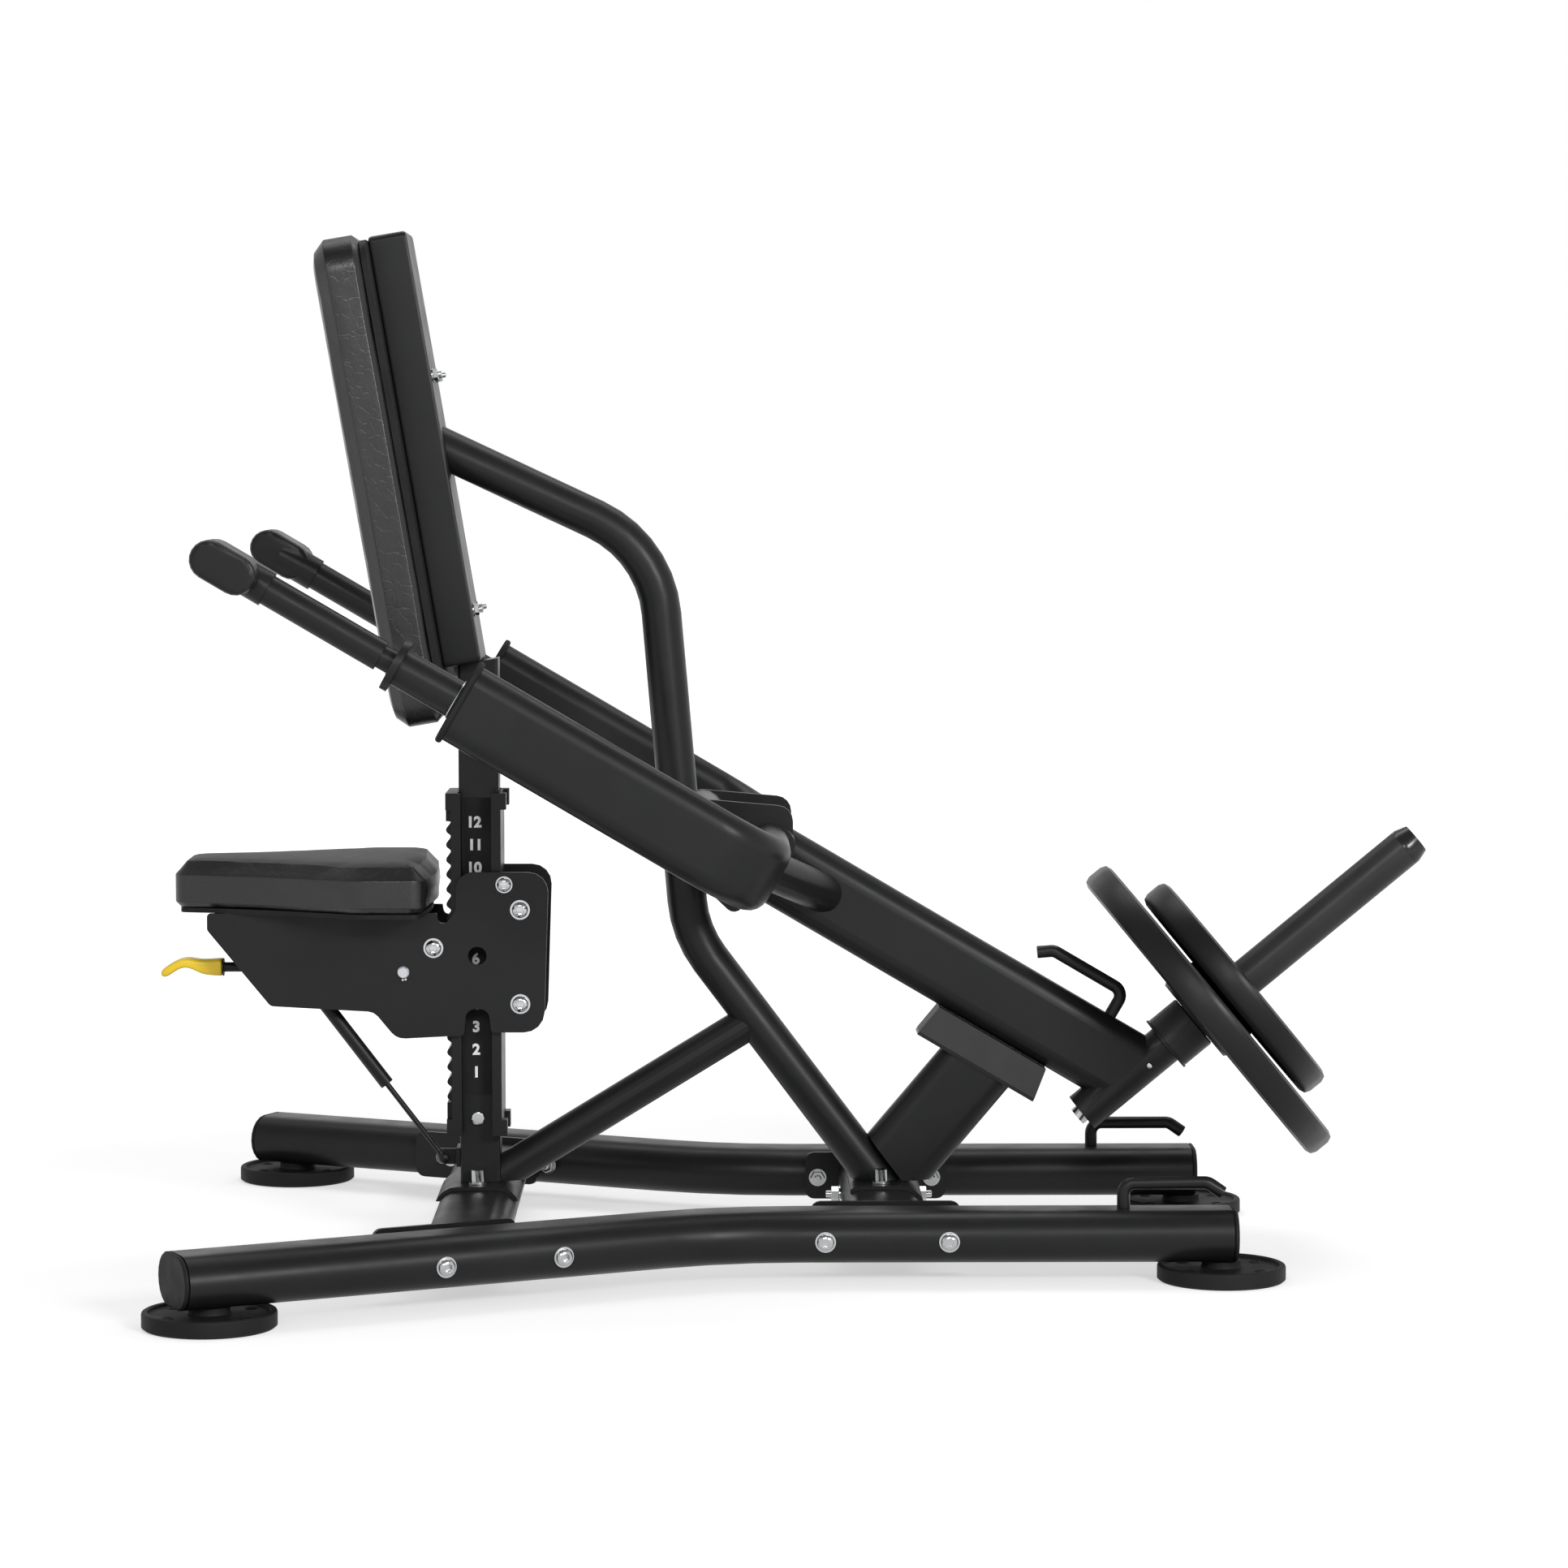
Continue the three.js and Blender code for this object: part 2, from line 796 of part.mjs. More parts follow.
// The space beside the main tube, as wide as the stop's post, up to a straight line along the tube.
function besideMain() {
  const depth = 2 * (mainRadius + restGap);
  return swept(box(stopWidth, depth), mainRoute(), across);
}

// All that lies under the top of the saddles, less a gap.
function underSaddles() {
  return column(box(2 * reach, 2 * reach), -reach, saddleTop + restGap);
}

const bumperTop = -(boomDrop + boomHeight / 2 + restGap);
const bumperBottom = bumperTop - bumperHeight;

function brace() {
  const foot = point(braceFootX, 0, braceFootZ);
  const direction = point(Math.cos(braceSlope), 0, Math.sin(braceSlope));
  const head = foot.clone().addScaledVector(direction, braceLength);
  const start = foot.clone().addScaledVector(direction, -postWidth);
  const postGap = postWidth + 2 * restGap;
  const postBox = column(box(postGap, postGap), 0, rackTop).translate(postX, 0, 0);
  const past = column(box(2 * reach, 2 * reach), 0, reach).translate(postX - reach, 0, 0);
  const bar = rod(braceRadius, start, head);
  return mainBody(cut(bar, postBox, past, underSaddles(), mainBar(mainRadius + restGap)));
}

// What is left of a body once the loose end past its neighbour is dropped.
function mainBody(body) {
  const bodies = body.decompose();
  return bodies.reduce((best, one) => (one.volume() > best.volume() ? one : best));
}

function stopPost() {
  const direction = point(Math.cos(stopSlope), 0, Math.sin(stopSlope));
  const sideways = point(Math.sin(stopSlope), 0, -Math.cos(stopSlope));
  const foot = point(rearCrossX, 0, saddleTop).addScaledVector(direction, -stopWidth);
  const shape = oval(stopWidth, stopDepth);
  const post = solid(pushed(shape, stopLength), pose(foot, sideways, across));
  const plateTop = bumperBottom - restGap;
  const plateShape = outline([
    [bumperS - bumperLength / 2, plateTop - bumperPlate],
    [bumperS + bumperLength / 2, plateTop - bumperPlate],
    [bumperS + bumperLength / 2, plateTop],
    [bumperS - bumperLength / 2, plateTop],
  ]);
  const above = column(box(2 * reach, 2 * reach), plateTop - bumperPlate / 2, reach);
  const plate = inLever(slab(plateShape, -bumperWidth / 2, bumperWidth / 2));
  const trimmed = cut(post, inLever(above), underSaddles(), besideMain());
  return join(mainBody(trimmed), plate);
}

function stopBumper() {
  const shape = outline([
    [bumperS - bumperLength / 2, bumperBottom],
    [bumperS + bumperLength / 2, bumperBottom],
    [bumperS + bumperTopLength / 2, bumperTop],
    [bumperS - bumperTopLength / 2, bumperTop],
  ]);
  return inLever(slab(shape, -bumperWidth / 2, bumperWidth / 2));
}

// Seat post, rack and guide
const postFront = postX - postWidth / 2;
const postRear = postX + postWidth / 2;

function seatPost() {
  const high = backFrameBottom;
  const shaft = column(box(postWidth, postWidth, postEdge), saddleTop + restGap, high);
  const aboveFrame = inBack(column(box(2 * reach, 2 * reach), backFrameBottom - restGap, reach));
  return cut(shaft.translate(postX, 0, 0), aboveFrame);
}

// A tooth from the valley over it to the valley under it: share of the depth, share of the pitch
const toothShares = [
  [0, 0.04],
  [0.42, 0.26],
  [0.86, 0.44],
  [1, 0.58],
  [0.86, 0.74],
  [0.12, 0.96],
];

// The rack: a plate on the post with two side walls, a toothed bar and a block at each end
function rack() {
  const rear = postFront - restGap;
  const root = rear - rackBase;
  const tip = root - rackToothDepth;
  const half = rackWidth / 2;
  const pitch = (toothedTop - toothedBottom) / rackTeeth;
  const rows = [
    [rear, rackBottom],
    [rear, rackTop],
    [tip, rackTop],
    [tip, toothedTop],
  ];
  for (let tooth = rackTeeth; tooth > 0; tooth -= 1) {
    const top = toothedBottom + tooth * pitch;
    rows.push(...toothShares.map(([depth, down]) => [root + depth * (tip - root), top - down * pitch]));
  }
  rows.push([tip, toothedBottom], [tip, rackBottom]);
  const parts = [slab(outline(rows), -rackToothWidth / 2, rackToothWidth / 2)];
  for (const side of Object.values(sides)) {
    const wall = column(box(rackWallDepth, rackWall), rackBottom, rackTop);
    parts.push(wall.translate(root + rackWallDepth / 2, side * (half - rackWall / 2), 0));
  }
  const plate = column(box(rackBase, rackWidth - rackWall), rackBottom, rackTop);
  parts.push(plate.translate(root + rackBase / 2, 0, 0));
  for (const bottom of [rackBottom, rackTop - rackBlockHeight]) {
    const depth = rackToothDepth + rackBase / 2;
    const block = column(box(depth, rackWidth), bottom, bottom + rackBlockHeight);
    parts.push(block.translate(tip + depth / 2, 0, 0));
  }
  return join(...parts);
}

function rearGuide() {
  const front = postRear + restGap;
  const rear = front + guideWeb;
  const lugRear = rear + guideLugDepth;
  const half = rackWidth / 2;
  const web = column(box(guideWeb, rackWidth), rackBottom, rackTop);
  const plate = web.translate(front + guideWeb / 2, 0, 0);
  const parts = [plate];
  for (const side of Object.values(sides)) {
    const wall = column(box(guideFlange, guideWall), rackBottom, rackTop);
    parts.push(wall.translate(rear - guideFlange / 2, side * (half - guideWall / 2), 0));
    const lugWidth = half - guideLugSlot;
    const lug = box(guideLugDepth + guideWeb / 2, lugWidth);
    for (const bottom of [rackBottom, rackTop - guideLugHeight]) {
      const body = column(lug, bottom, bottom + guideLugHeight);
      const lugX = lugRear - (guideLugDepth + guideWeb / 2) / 2;
      parts.push(body.translate(lugX, side * (guideLugSlot + lugWidth / 2), 0));
    }
  }
  return join(...parts);
}

function numberStrip() {
  const near = -postWidth / 2 - restGap;
  const shape = box(stripWidth, stripTop - stripBottom, stripThickness);
  const middle = (stripTop + stripBottom) / 2;
  return slab(shape, near - stripThickness, near).translate(postX, 0, middle);
}

function postPlug() {
  const near = -postWidth / 2 - restGap;
  const plug = slab(circle(plugRadius, tubeSides), near - plugLength, near, plugEdge);
  return plug.translate(plugX, 0, plugZ);
}

// Back rest, in its leaning frame: x runs to the rear, z up along it
function backFrame() {
  const height = backFrameTop - backFrameBottom;
  const front = -backFrameRear - backFrameDepth;
  const shape = box(backFrameWidth, height, backFrameEdge);
  const body = beam(shape, front, -backFrameRear, backFrameEdge / 2);
  return body.translate(0, 0, (backFrameTop + backFrameBottom) / 2);
}

function backBoard() {
  const front = -backFrameRear - backFrameDepth - restGap;
  const width = backPadWidth - 2 * backBoardInset;
  const height = backPadTop - backPadBottom - 2 * backBoardInset;
  const shape = box(width, height, backPadCorner - backBoardInset);
  const board = beam(shape, front - backBoardThickness, front);
  return board.translate(0, 0, (backPadTop + backPadBottom) / 2);
}

// The rise of a cushion's face over its bevel: share of the crown, share of the bevel inwards
const crownShares = [
  [0, 1],
  [0.7, 1.7],
  [1, 2.4],
];

// The layers of a cushion from its board side to its face.
function cushionLayers(thickness, boardBevel, faceBevel, crown) {
  const band = thickness - crown;
  const rise = crownShares.map(([up, inwards]) => ({
    height: band + crown * up,
    inset: faceBevel * inwards,
  }));
  return [
    { height: 0, inset: boardBevel },
    { height: boardBevel, inset: 0 },
    { height: band - faceBevel, inset: 0 },
    ...rise,
  ];
}

function backPad() {
  const rear = -backFrameRear - backFrameDepth - backBoardThickness - 2 * restGap;
  const shape = box(backPadTop - backPadBottom, backPadWidth, backPadCorner);
  const layers = cushionLayers(backPadThickness, backPadRearBevel, backPadFrontBevel, backPadCrown);
  const middle = (backPadTop + backPadBottom) / 2;
  return solid(layered(shape, layers), pose(point(rear, 0, middle), up, across));
}

const back = new THREE.Group();
back.rotation.y = -backLean;
back.add(
  piece("back_frame", backFrame(), paint),
  piece("back_board", backBoard(), plastic),
  piece("back_pad", backPad(), vinyl),
);

// Brackets and axle of the pivot
// Corners of a bracket: across, up and corner radius as shares of the radius of what they go round
const turretShares = [
  [-1, -0.95, 0.7],
  [0.2, -2.75, 0.3],
];
const housingShares = [
  [-2.12, -3.83, 0.5],
  [-0.55, -1.63, 0.3],
  [-0.1, -0.8, 0],
  [0.9, -0.8, 0.8],
  [0.9, 1.95, 0.83],
];
const turretTopShares = [[-1, 1.1, 0.9]];

function bracketShape() {
  const round = (shares, middle, height, radius) =>
    shares.map(([x, z, corner]) => [middle + x * radius, height + z * radius, corner * radius]);
  return outline([
    ...round(turretShares, bracketTurretX, bracketTurretZ, bracketTurretRadius),
    ...round(housingShares, pivotX, pivotZ, housingRadius),
    ...round(turretTopShares, bracketTurretX, bracketTurretZ, bracketTurretRadius),
  ]);
}

function bracket(side) {
  const inner = bracketInner;
  const outer = bracketInner + bracketThickness;
  const [from, to] = side > 0 ? [inner, outer] : [-outer, -inner];
  const ends = [from - overrun, to + overrun].map((y) => point(pivotX, y, pivotZ));
  return cut(slab(bracketShape(), from, to), rod(axleRadius + restGap, ...ends));
}

function turret() {
  const end = bracketInner - restGap;
  const ends = [-end, end].map((y) => point(bracketTurretX, y, bracketTurretZ));
  return cut(rod(bracketTurretRadius, ...ends), mainBar(mainRadius + restGap));
}

function pivotAxle() {
  return rod(axleRadius, point(pivotX, -axleHalf, pivotZ), point(pivotX, axleHalf, pivotZ));
}

// The main tube ends on the rear face of the back frame and on the rear saddle.
function mainTube() {
  const backRest = inBack(beam(box(2 * reach, 2 * reach), -reach, -backFrameRear + restGap));
  return mainBody(cut(mainBar(mainRadius), underSaddles(), backRest));
}

const frame = new THREE.Group();
frame.add(
  piece("seat_post", seatPost(), paint),
  piece("rack", rack(), darkPaint),
  piece("rear_guide", rearGuide(), darkPaint),
  piece("number_strip", numberStrip(), label),
  piece("post_plug", postPlug(), chrome),
  piece("main_tube", mainTube(), paint),
  piece("brace_tube", brace(), paint),
  piece("stop_post", stopPost(), paint),
  piece("stop_bumper", stopBumper(), rubber),
  piece("bracket_left", bracket(sides.left), paint),
  piece("bracket_right", bracket(sides.right), paint),
  piece("pivot_cross_tube", turret(), paint),
  piece("pivot_axle", pivotAxle(), chrome),
);

// Lever, in the frame of its slope: x runs down to the horn, z square to it, from the pivot
const boomSection = oval(boomHeight, boomWidth);
const hornPose = new THREE.Matrix4().makeRotationY(hornTilt).setPosition(hornS, 0, -boomDrop);
const inHorn = (body) => body.transform(hornPose.elements);

function armRoute(side) {
  const corners = [
    { at: point(armEnd, side * armSpacing, -boomDrop) },
    { at: point(armElbowS, side * armSpacing, -boomDrop), radius: armElbowRadius },
    { at: point(armElbowS, side * armInner, -boomDrop) },
  ];
  return rounded(corners, false);
}

// The ends of the round boss that joins an arm to the axle, grown by a gap.
function bossEnds(side, gap) {
  const inner = bracketInner + bracketThickness + runningGap;
  return [inner - gap, inner + bossLength + gap].map((y) => point(0, side * y, 0));
}

function arm(side) {
  const boss = rod(housingRadius, ...bossEnds(side, 0));
  const bore = rod(
    axleRadius + restGap,
    point(0, 0, 0),
    point(0, side * (axleHalf + restGap), 0),
  );
  return cut(join(swept(boomSection, armRoute(side), up), boss), bore);
}

function gusset(side) {
  const inner = boomWidth / 4;
  const slope = (y) => gussetS - (y - boomWidth / 2) / gussetSlopeShare;
  const ends = [inner, gussetArmY].map((y) => point(slope(y), side * y, -boomDrop));
  const armSection = oval(boomHeight + 2 * restGap, boomWidth + 2 * restGap);
  const bossSpace = rod(housingRadius + restGap, ...bossEnds(side, restGap));
  return cut(rod(gussetRadius, ...ends), bossSpace, swept(armSection, armRoute(side), up));
}

function boom() {
  const housingEnd = bracketInner - runningGap;
  const housing = rod(housingRadius, point(0, -housingEnd, 0), point(0, housingEnd, 0));
  const bore = rod(
    axleRadius + restGap,
    point(0, -housingEnd - overrun, 0),
    point(0, housingEnd + overrun, 0),
  );
  const start = point(0, 0, -boomDrop);
  const down = pose(start, up, across.clone().negate());
  const bar = solid(pushed(boomSection, hornS + boomWidth), down);
  const beyond = inHorn(column(box(2 * reach, 2 * reach), -reach, reach).translate(reach, 0, 0));
  const socket = inHorn(
    solid(
      turned([
        [0, socketBottom],
        [socketRadius, socketBottom],
        [socketRadius, socketTop],
        [socketFlangeRadius, socketTop],
        [socketFlangeRadius, socketTop + socketFlangeThickness],
        [0, socketTop + socketFlangeThickness],
      ]),
    ),
  );
  const shankTop = socketTop + overrun;
  const shankHole = rod(
    hornShankRadius + restGap,
    point(0, 0, socketBottom + socketFloor),
    point(0, 0, shankTop),
  );
  const boltHole = rod(
    hornBoltRadius + restGap,
    point(0, 0, socketBottom - overrun),
    point(0, 0, shankTop),
    smallSides,
  );
  const gussets = Object.values(sides).map(gusset);
  const whole = join(cut(bar, beyond), housing, socket, ...gussets);
  return cut(whole, bore, inHorn(shankHole), inHorn(boltHole));
}

function armCap(side) {
  const start = point(armEnd - restGap, side * armSpacing, -boomDrop);
  const shape = oval(armCapHeight, armCapWidth);
  const cap = pushed(shape, armCapThickness, armCapEdge, 1);
  return solid(cap, pose(start, up, across));
}

// The turned tube that carries the grip, from its stub in the arm's cap to its end.
function handleTube(side) {
  const start = armEnd - armCapThickness - 2 * restGap;
  const flangeEnd = stubEnd - stubFlangeThickness;
  const neckEnd = flangeEnd - stubNeckLength;
  const rows = [
    [0, 0],
    [stubRadius, 0],
    [stubRadius, start - stubEnd],
    [stubFlangeRadius, start - stubEnd],
    [stubFlangeRadius, start - flangeEnd],
    [stubNeckRadius, start - flangeEnd],
    [stubNeckRadius, start - neckEnd],
    [handleRadius, start - neckEnd],
    [handleRadius, start - handleEnd],
    [0, start - handleEnd],
  ];
  const place = point(start, side * armSpacing, -boomDrop);
  return solid(turned(rows), pose(place, up, across));
}

function grip(side) {
  const inner = gripInner;
  const outer = gripInner + gripWidth;
  const [from, to] = side > 0 ? [inner, outer] : [-outer, -inner];
  const body = slab(oval(gripLength, gripHeight), from, to, gripEdge).translate(gripS, 0, -boomDrop);
  const middle = (y) => point(y, side * armSpacing, -boomDrop);
  const neckEnd = gripS + gripLength / 2 + gripNeckLength;
  const neck = rod(gripNeckRadius, middle(gripS), middle(neckEnd));
  const bore = rod(handleRadius + restGap, middle(handleEnd - restGap), middle(neckEnd + overrun));
  return cut(join(body, neck), bore);
}

// Horn and weight plates, in the frame of the horn: z runs up the horn from the boom's middle
function horn() {
  const start = socketTop + socketFlangeThickness + restGap;
  const rows = [
    [0, socketBottom + socketFloor + restGap],
    [hornShankRadius, socketBottom + socketFloor + restGap],
    [hornShankRadius, start],
    [collarRadius, start],
    [collarRadius, collarTop - collarEdge],
    [collarRadius - collarEdge, collarTop],
    [hornRadius, collarTop],
    [hornRadius, hornTop],
    [0, hornTop],
  ];
  return solid(turned(rows));
}

function hornEndCap() {
  const start = hornTop + restGap;
  const edge = hornRadius - hornCapRadius;
  const rows = [
    [0, start],
    [hornRadius, start],
    [hornRadius, start + edge],
    [hornCapRadius + edge / 3, start + hornCapLength - edge],
    [hornCapRadius, start + hornCapLength],
    [0, start + hornCapLength],
  ];
  return solid(turned(rows));
}

function hornBolt() {
  const face = socketBottom - restGap;
  const rows = [
    [0, face - hornBoltHeadHeight],
    [hornBoltHeadRadius, face - hornBoltHeadHeight],
    [hornBoltHeadRadius, face],
    [hornBoltRadius, face],
    [hornBoltRadius, socketBottom + socketFloor],
    [0, socketBottom + socketFloor],
  ];
  return solid(turned(rows, smallSides));
}

// A weight plate: rim and hub stand out of a thinner web on both faces.
function weightPlate(radius, rim, hub, web, bottom) {
  const middle = bottom + hub / 2;
  const rimInner = radius * (1 - plateRimWidthShare);
  const hubRadius = radius * plateHubRadiusShare;
  const round = rim * plateRoundShare;
  const bore = hornRadius + runningGap;
  const arc = round * plateArcShare;
  const slope = (rim - web) / 4;
  const lower = [
    [bore, -hub / 2],
    [hubRadius - arc, -hub / 2],
    [hubRadius + slope, -web / 2],
    [rimInner - slope, -web / 2],
    [rimInner, -rim / 2],
    [radius - round, -rim / 2],
    [radius - arc, arc - rim / 2],
    [radius, round - rim / 2],
  ];
  const upper = lower.map(([r, z]) => [r, -z]).reverse();
  const rows = [...lower, ...upper, lower[0]].map(([r, z]) => [r, z + middle]);
  return solid(turned(rows, plateSides));
}

const largePlateBottom = collarTop + restGap;
const smallPlateBottom = largePlateBottom + largePlateHub + restGap;
const largePlate = weightPlate(
  largePlateRadius,
  largePlateRim,
  largePlateHub,
  largePlateWeb,
  largePlateBottom,
);
const smallPlate = weightPlate(
  smallPlateRadius,
  smallPlateRim,
  smallPlateHub,
  smallPlateWeb,
  smallPlateBottom,
);

const hornGroup = new THREE.Group();
hornGroup.position.set(hornS, 0, -boomDrop);
hornGroup.rotation.y = hornTilt;
hornGroup.add(
  piece("horn", horn(), darkPaint),
  piece("horn_end_cap", hornEndCap(), darkPaint),
  piece("horn_bolt", hornBolt(), chrome),
  piece("weight_plate_large", largePlate, castIron),
  piece("weight_plate_small", smallPlate, castIron),
);

const lever = new THREE.Group();
lever.position.set(pivotX, 0, pivotZ);
lever.rotation.y = leverSlope;
for (const [name, side] of Object.entries(sides)) {
  lever.add(
    piece(`arm_${name}`, arm(side), paint),
    piece(`arm_cap_${name}`, armCap(side), plastic),
    piece(`handle_tube_${name}`, handleTube(side), darkPaint),
    piece(`grip_${name}`, grip(side), rubber),
  );
}
const boomTop = boomHeight / 2 - boomDrop + restGap;
lever.add(
  piece("boom", boom(), paint),
  piece("band_peg_boom", peg(boomPegS, 0, boomTop, boomPegRise, -pegRun), paint),
  hornGroup,
);

// Carriage that climbs the seat post
const plateLength = carriageRight - carriageLeft;
const plateHeight = carriageTop - carriageBottom;
const axleHoleRadius = rollerAxleRadius + restGap;

// Corners of the side plate as shares of its length and height, with the corner radius as a
// share of the height.
const carriageShares = [
  [0, 0.755, 0.02],
  [0, 0.655, 0.03],
  [0.184, 0.198, 0.04],
  [0.487, 0.163, 0.08],
  [0.553, 0, 0.1],
  [0.75, 0.02, 0.02],
  [0.757, 0.18, 0.06],
  [0.823, 0.18, 0.06],
  [0.83, 0.038, 0.02],
  [0.985, 0.037, 0.125],
  [1, 1, 0.118],
  [0.728, 1, 0.1],
  [0.728, 0.775, 0.05],
  [0.7, 0.695, 0.03],
  [0.677, 0.695, 0.03],
  [0.672, 0.755, 0],
];

function carriagePlate(side) {
  const inner = carriageInner;
  const outer = carriageInner + carriageThickness;
  const [from, to] = side > 0 ? [inner, outer] : [-outer, -inner];
  const rows = carriageShares.map(([x, z, radius]) => [
    carriageLeft + x * plateLength,
    carriageBottom + z * plateHeight,
    radius * plateHeight,
  ]);
  const holes = [
    [windowX, windowZ, windowRadius],
    [rollerX, upperRollerZ, axleHoleRadius],
    [rollerX, lowerRollerZ, axleHoleRadius],
    [frontRollerX, frontRollerZ, axleHoleRadius],
    [latchX, latchZ, latchPinRadius + restGap],
  ];
  const drills = holes.map(([x, z, radius]) =>
    rod(radius, point(x, from - overrun, z), point(x, to + overrun, z), smallSides),
  );
  return cut(slab(outline(rows), from, to), ...drills);
}

function spacer(x) {
  const top = carriageBottom + carriageShares[0][1] * plateHeight;
  const half = carriageInner + carriageThickness / 2;
  const bar = slab(box(spacerWidth, spacerHeight), -half, half);
  return bar.translate(x, 0, top - spacerHeight / 2);
}

function carriage() {
  return join(
    carriagePlate(sides.left),
    spacer(frontSpacerX),
    spacer(middleSpacerX),
    carriagePlate(sides.right),
  );
}

// A roller with its through axle, whose heads sit outside the side plates.
function roller(radius, x, z) {
  const outer = carriageInner + carriageThickness + runningGap;
  const head = outer + rollerHeadHeight;
  const half = rollerWidth / 2;
  const rows = [
    [0, -head],
    [rollerHeadRadius, -head],
    [rollerHeadRadius, -outer],
    [rollerAxleRadius, -outer],
    [rollerAxleRadius, -half],
    [radius, -half],
    [radius, half],
    [rollerAxleRadius, half],
    [rollerAxleRadius, outer],
    [rollerHeadRadius, outer],
    [rollerHeadRadius, head],
    [0, head],
  ];
  return solid(turned(rows), pose(point(x, 0, z), up, along));
}

// The seat ends a gap short of the rack's teeth.
const rackTip = postFront - restGap - rackBase - rackToothDepth;
const seatFront = rackTip - seatRackGap - seatLength;

// The seat's outline as shares of its length and half width, with the corner radius in millimetres
const seatShares = [
  [0, 0.364, seatCorner],
  [0.284, 0.51, seatLength],
  [0.707, 1, seatShoulder],
  [0.972, 1, seatCorner],
  [1, 0, seatLength],
  [0.972, -1, seatCorner],
  [0.707, -1, seatShoulder],
  [0.284, -0.51, seatLength],
  [0, -0.364, seatCorner],
];

function seatOutline() {
  const rows = seatShares.map(([x, y, radius]) => [
    seatFront + x * seatLength,
    (y * seatWidth) / 2,
    radius,
  ]);
  return outline(rows.reverse());
}

function seatPad() {
  const thickness = seatTop - seatPadBottom;
  const layers = cushionLayers(thickness, seatBottomBevel, seatTopBevel, seatCrown);
  return solid(layered(seatOutline(), layers).translate(0, 0, seatPadBottom));
}

function seatBoard() {
  const top = seatPadBottom - boardGap;
  const layers = [
    { height: top - boardThickness, inset: boardInset },
    { height: top, inset: boardInset },
  ];
  return solid(layered(seatOutline(), layers));
}

// The curved outline of the latch paddle: share of its length from the tip, then height over the rod
// and corner radius as shares of its height
const paddleShares = [
  [0.02, -0.42, 0.2],
  [0.13, -0.56, 0.3],
  [0.32, 0.02, 0.5],
  [0.46, 0.02, 0.5],
  [0.62, -0.46, 0.6],
  [1, -0.5, 0.16],
  [1, 0.5, 0.16],
  [0.68, 0.44, 1],
  [0.5, 0.6, 1],
  [0.24, 0.5, 0.8],
  [0, -0.05, 0.3],
];

function paddleShape() {
  const length = latchPaddleRoot - latchPaddleTip;
  const rows = paddleShares.map(([x, z, radius]) => [
    latchPaddleTip + x * length,
    latchZ + z * latchPaddleHeight,
    radius * latchPaddleHeight,
  ]);
  return outline(rows);
}

// Latch lever: paddle, rod, hub with its pin, and the pawl that drops into the rack
function latchLever() {
  const middle = (x) => point(x, 0, latchZ);
  const bar = rod(latchRodRadius, middle(latchRodEnd), middle(latchX), smallSides);
  const hubHalf = latchHubWidth / 2;
  const hub = rod(latchHubRadius, point(latchX, -hubHalf, latchZ), point(latchX, hubHalf, latchZ));
  const pin = rod(
    latchPinRadius,
    point(latchX, -latchPinHalf, latchZ),
    point(latchX, latchPinHalf, latchZ),
    smallSides,
  );
  const half = latchPaddleWidth / 2;
  const paddle = slab(paddleShape(), -half, half, latchPaddleEdge);
  const noseX = rackTip - pawlClearance;
  const pawlShape = outline([
    [latchX, latchZ - pawlThickness / 2],
    [noseX - pawlThickness / 2, latchZ - pawlThickness / 2],
    [noseX, latchZ - pawlThickness / 4],
    [noseX, latchZ],
    [noseX - pawlThickness / 2, latchZ + pawlThickness / 2],
    [latchX, latchZ + pawlThickness / 2],
  ]);
  const pawl = slab(pawlShape, -pawlWidth / 2, pawlWidth / 2);
  return join(bar, hub, pin, paddle, pawl);
}

// Gas spring between the foot of the post and the carriage
const springDirection = point(-Math.sin(springTilt), 0, Math.cos(springTilt));

function onSpring(distance) {
  return point(springBallX, springY, springBallZ).addScaledVector(springDirection, distance);
}

function springCylinder() {
  const eyeAt = onSpring(springLength);
  const halfEye = springEyeWidth / 2;
  const eye = rod(
    springEyeRadius,
    eyeAt.clone().addScaledVector(across, -halfEye),
    eyeAt.clone().addScaledVector(across, halfEye),
    smallSides,
  );
  const body = rod(springCylinderRadius, onSpring(springCylinderFoot), eyeAt, smallSides);
  const bore = rod(
    springRodRadius + runningGap,
    onSpring(springCylinderFoot - overrun),
    onSpring(springLength - springEyeRadius * springBoreEndShare),
    smallSides,
  );
  return cut(join(body, eye), bore);
}

// The wall that holds the ball's pin stands beside the ball, towards the middle of the machine.
const springWallNear = springY + springBallRadius + springWallGap;
const springWallFar = springWallNear + springBracketWall;

function springRod() {
  const halfBall = springBallRadius;
  const ball = rod(
    springBallRadius,
    onSpring(0).addScaledVector(across, -halfBall),
    onSpring(0).addScaledVector(across, halfBall),
    smallSides,
  );
  const pin = rod(springPinRadius, onSpring(0), onSpring(0).setY(springWallFar), smallSides);
  return join(rod(springRodRadius, onSpring(0), onSpring(springRodLength), smallSides), ball, pin);
}

// A plate on the front of the post, with a hole for the ball joint's pin
function springBracket() {
  const rear = postFront - restGap;
  const front = springBallX - springBracketHeight / 2;
  const shape = box(rear - front, springBracketHeight);
  const wall = slab(shape, springWallNear, springWallFar);
  const foot = beam(box(springFootWidth, springFootHeight), rear - springBracketWall, rear);
  const hole = rod(
    springPinRadius + restGap,
    point(springBallX, springWallNear - overrun, springBallZ),
    point(springBallX, springWallFar + overrun, springBallZ),
    smallSides,
  );
  return cut(
    join(wall.translate((rear + front) / 2, 0, springBallZ), foot.translate(0, 0, springBallZ)),
    hole,
  );
}

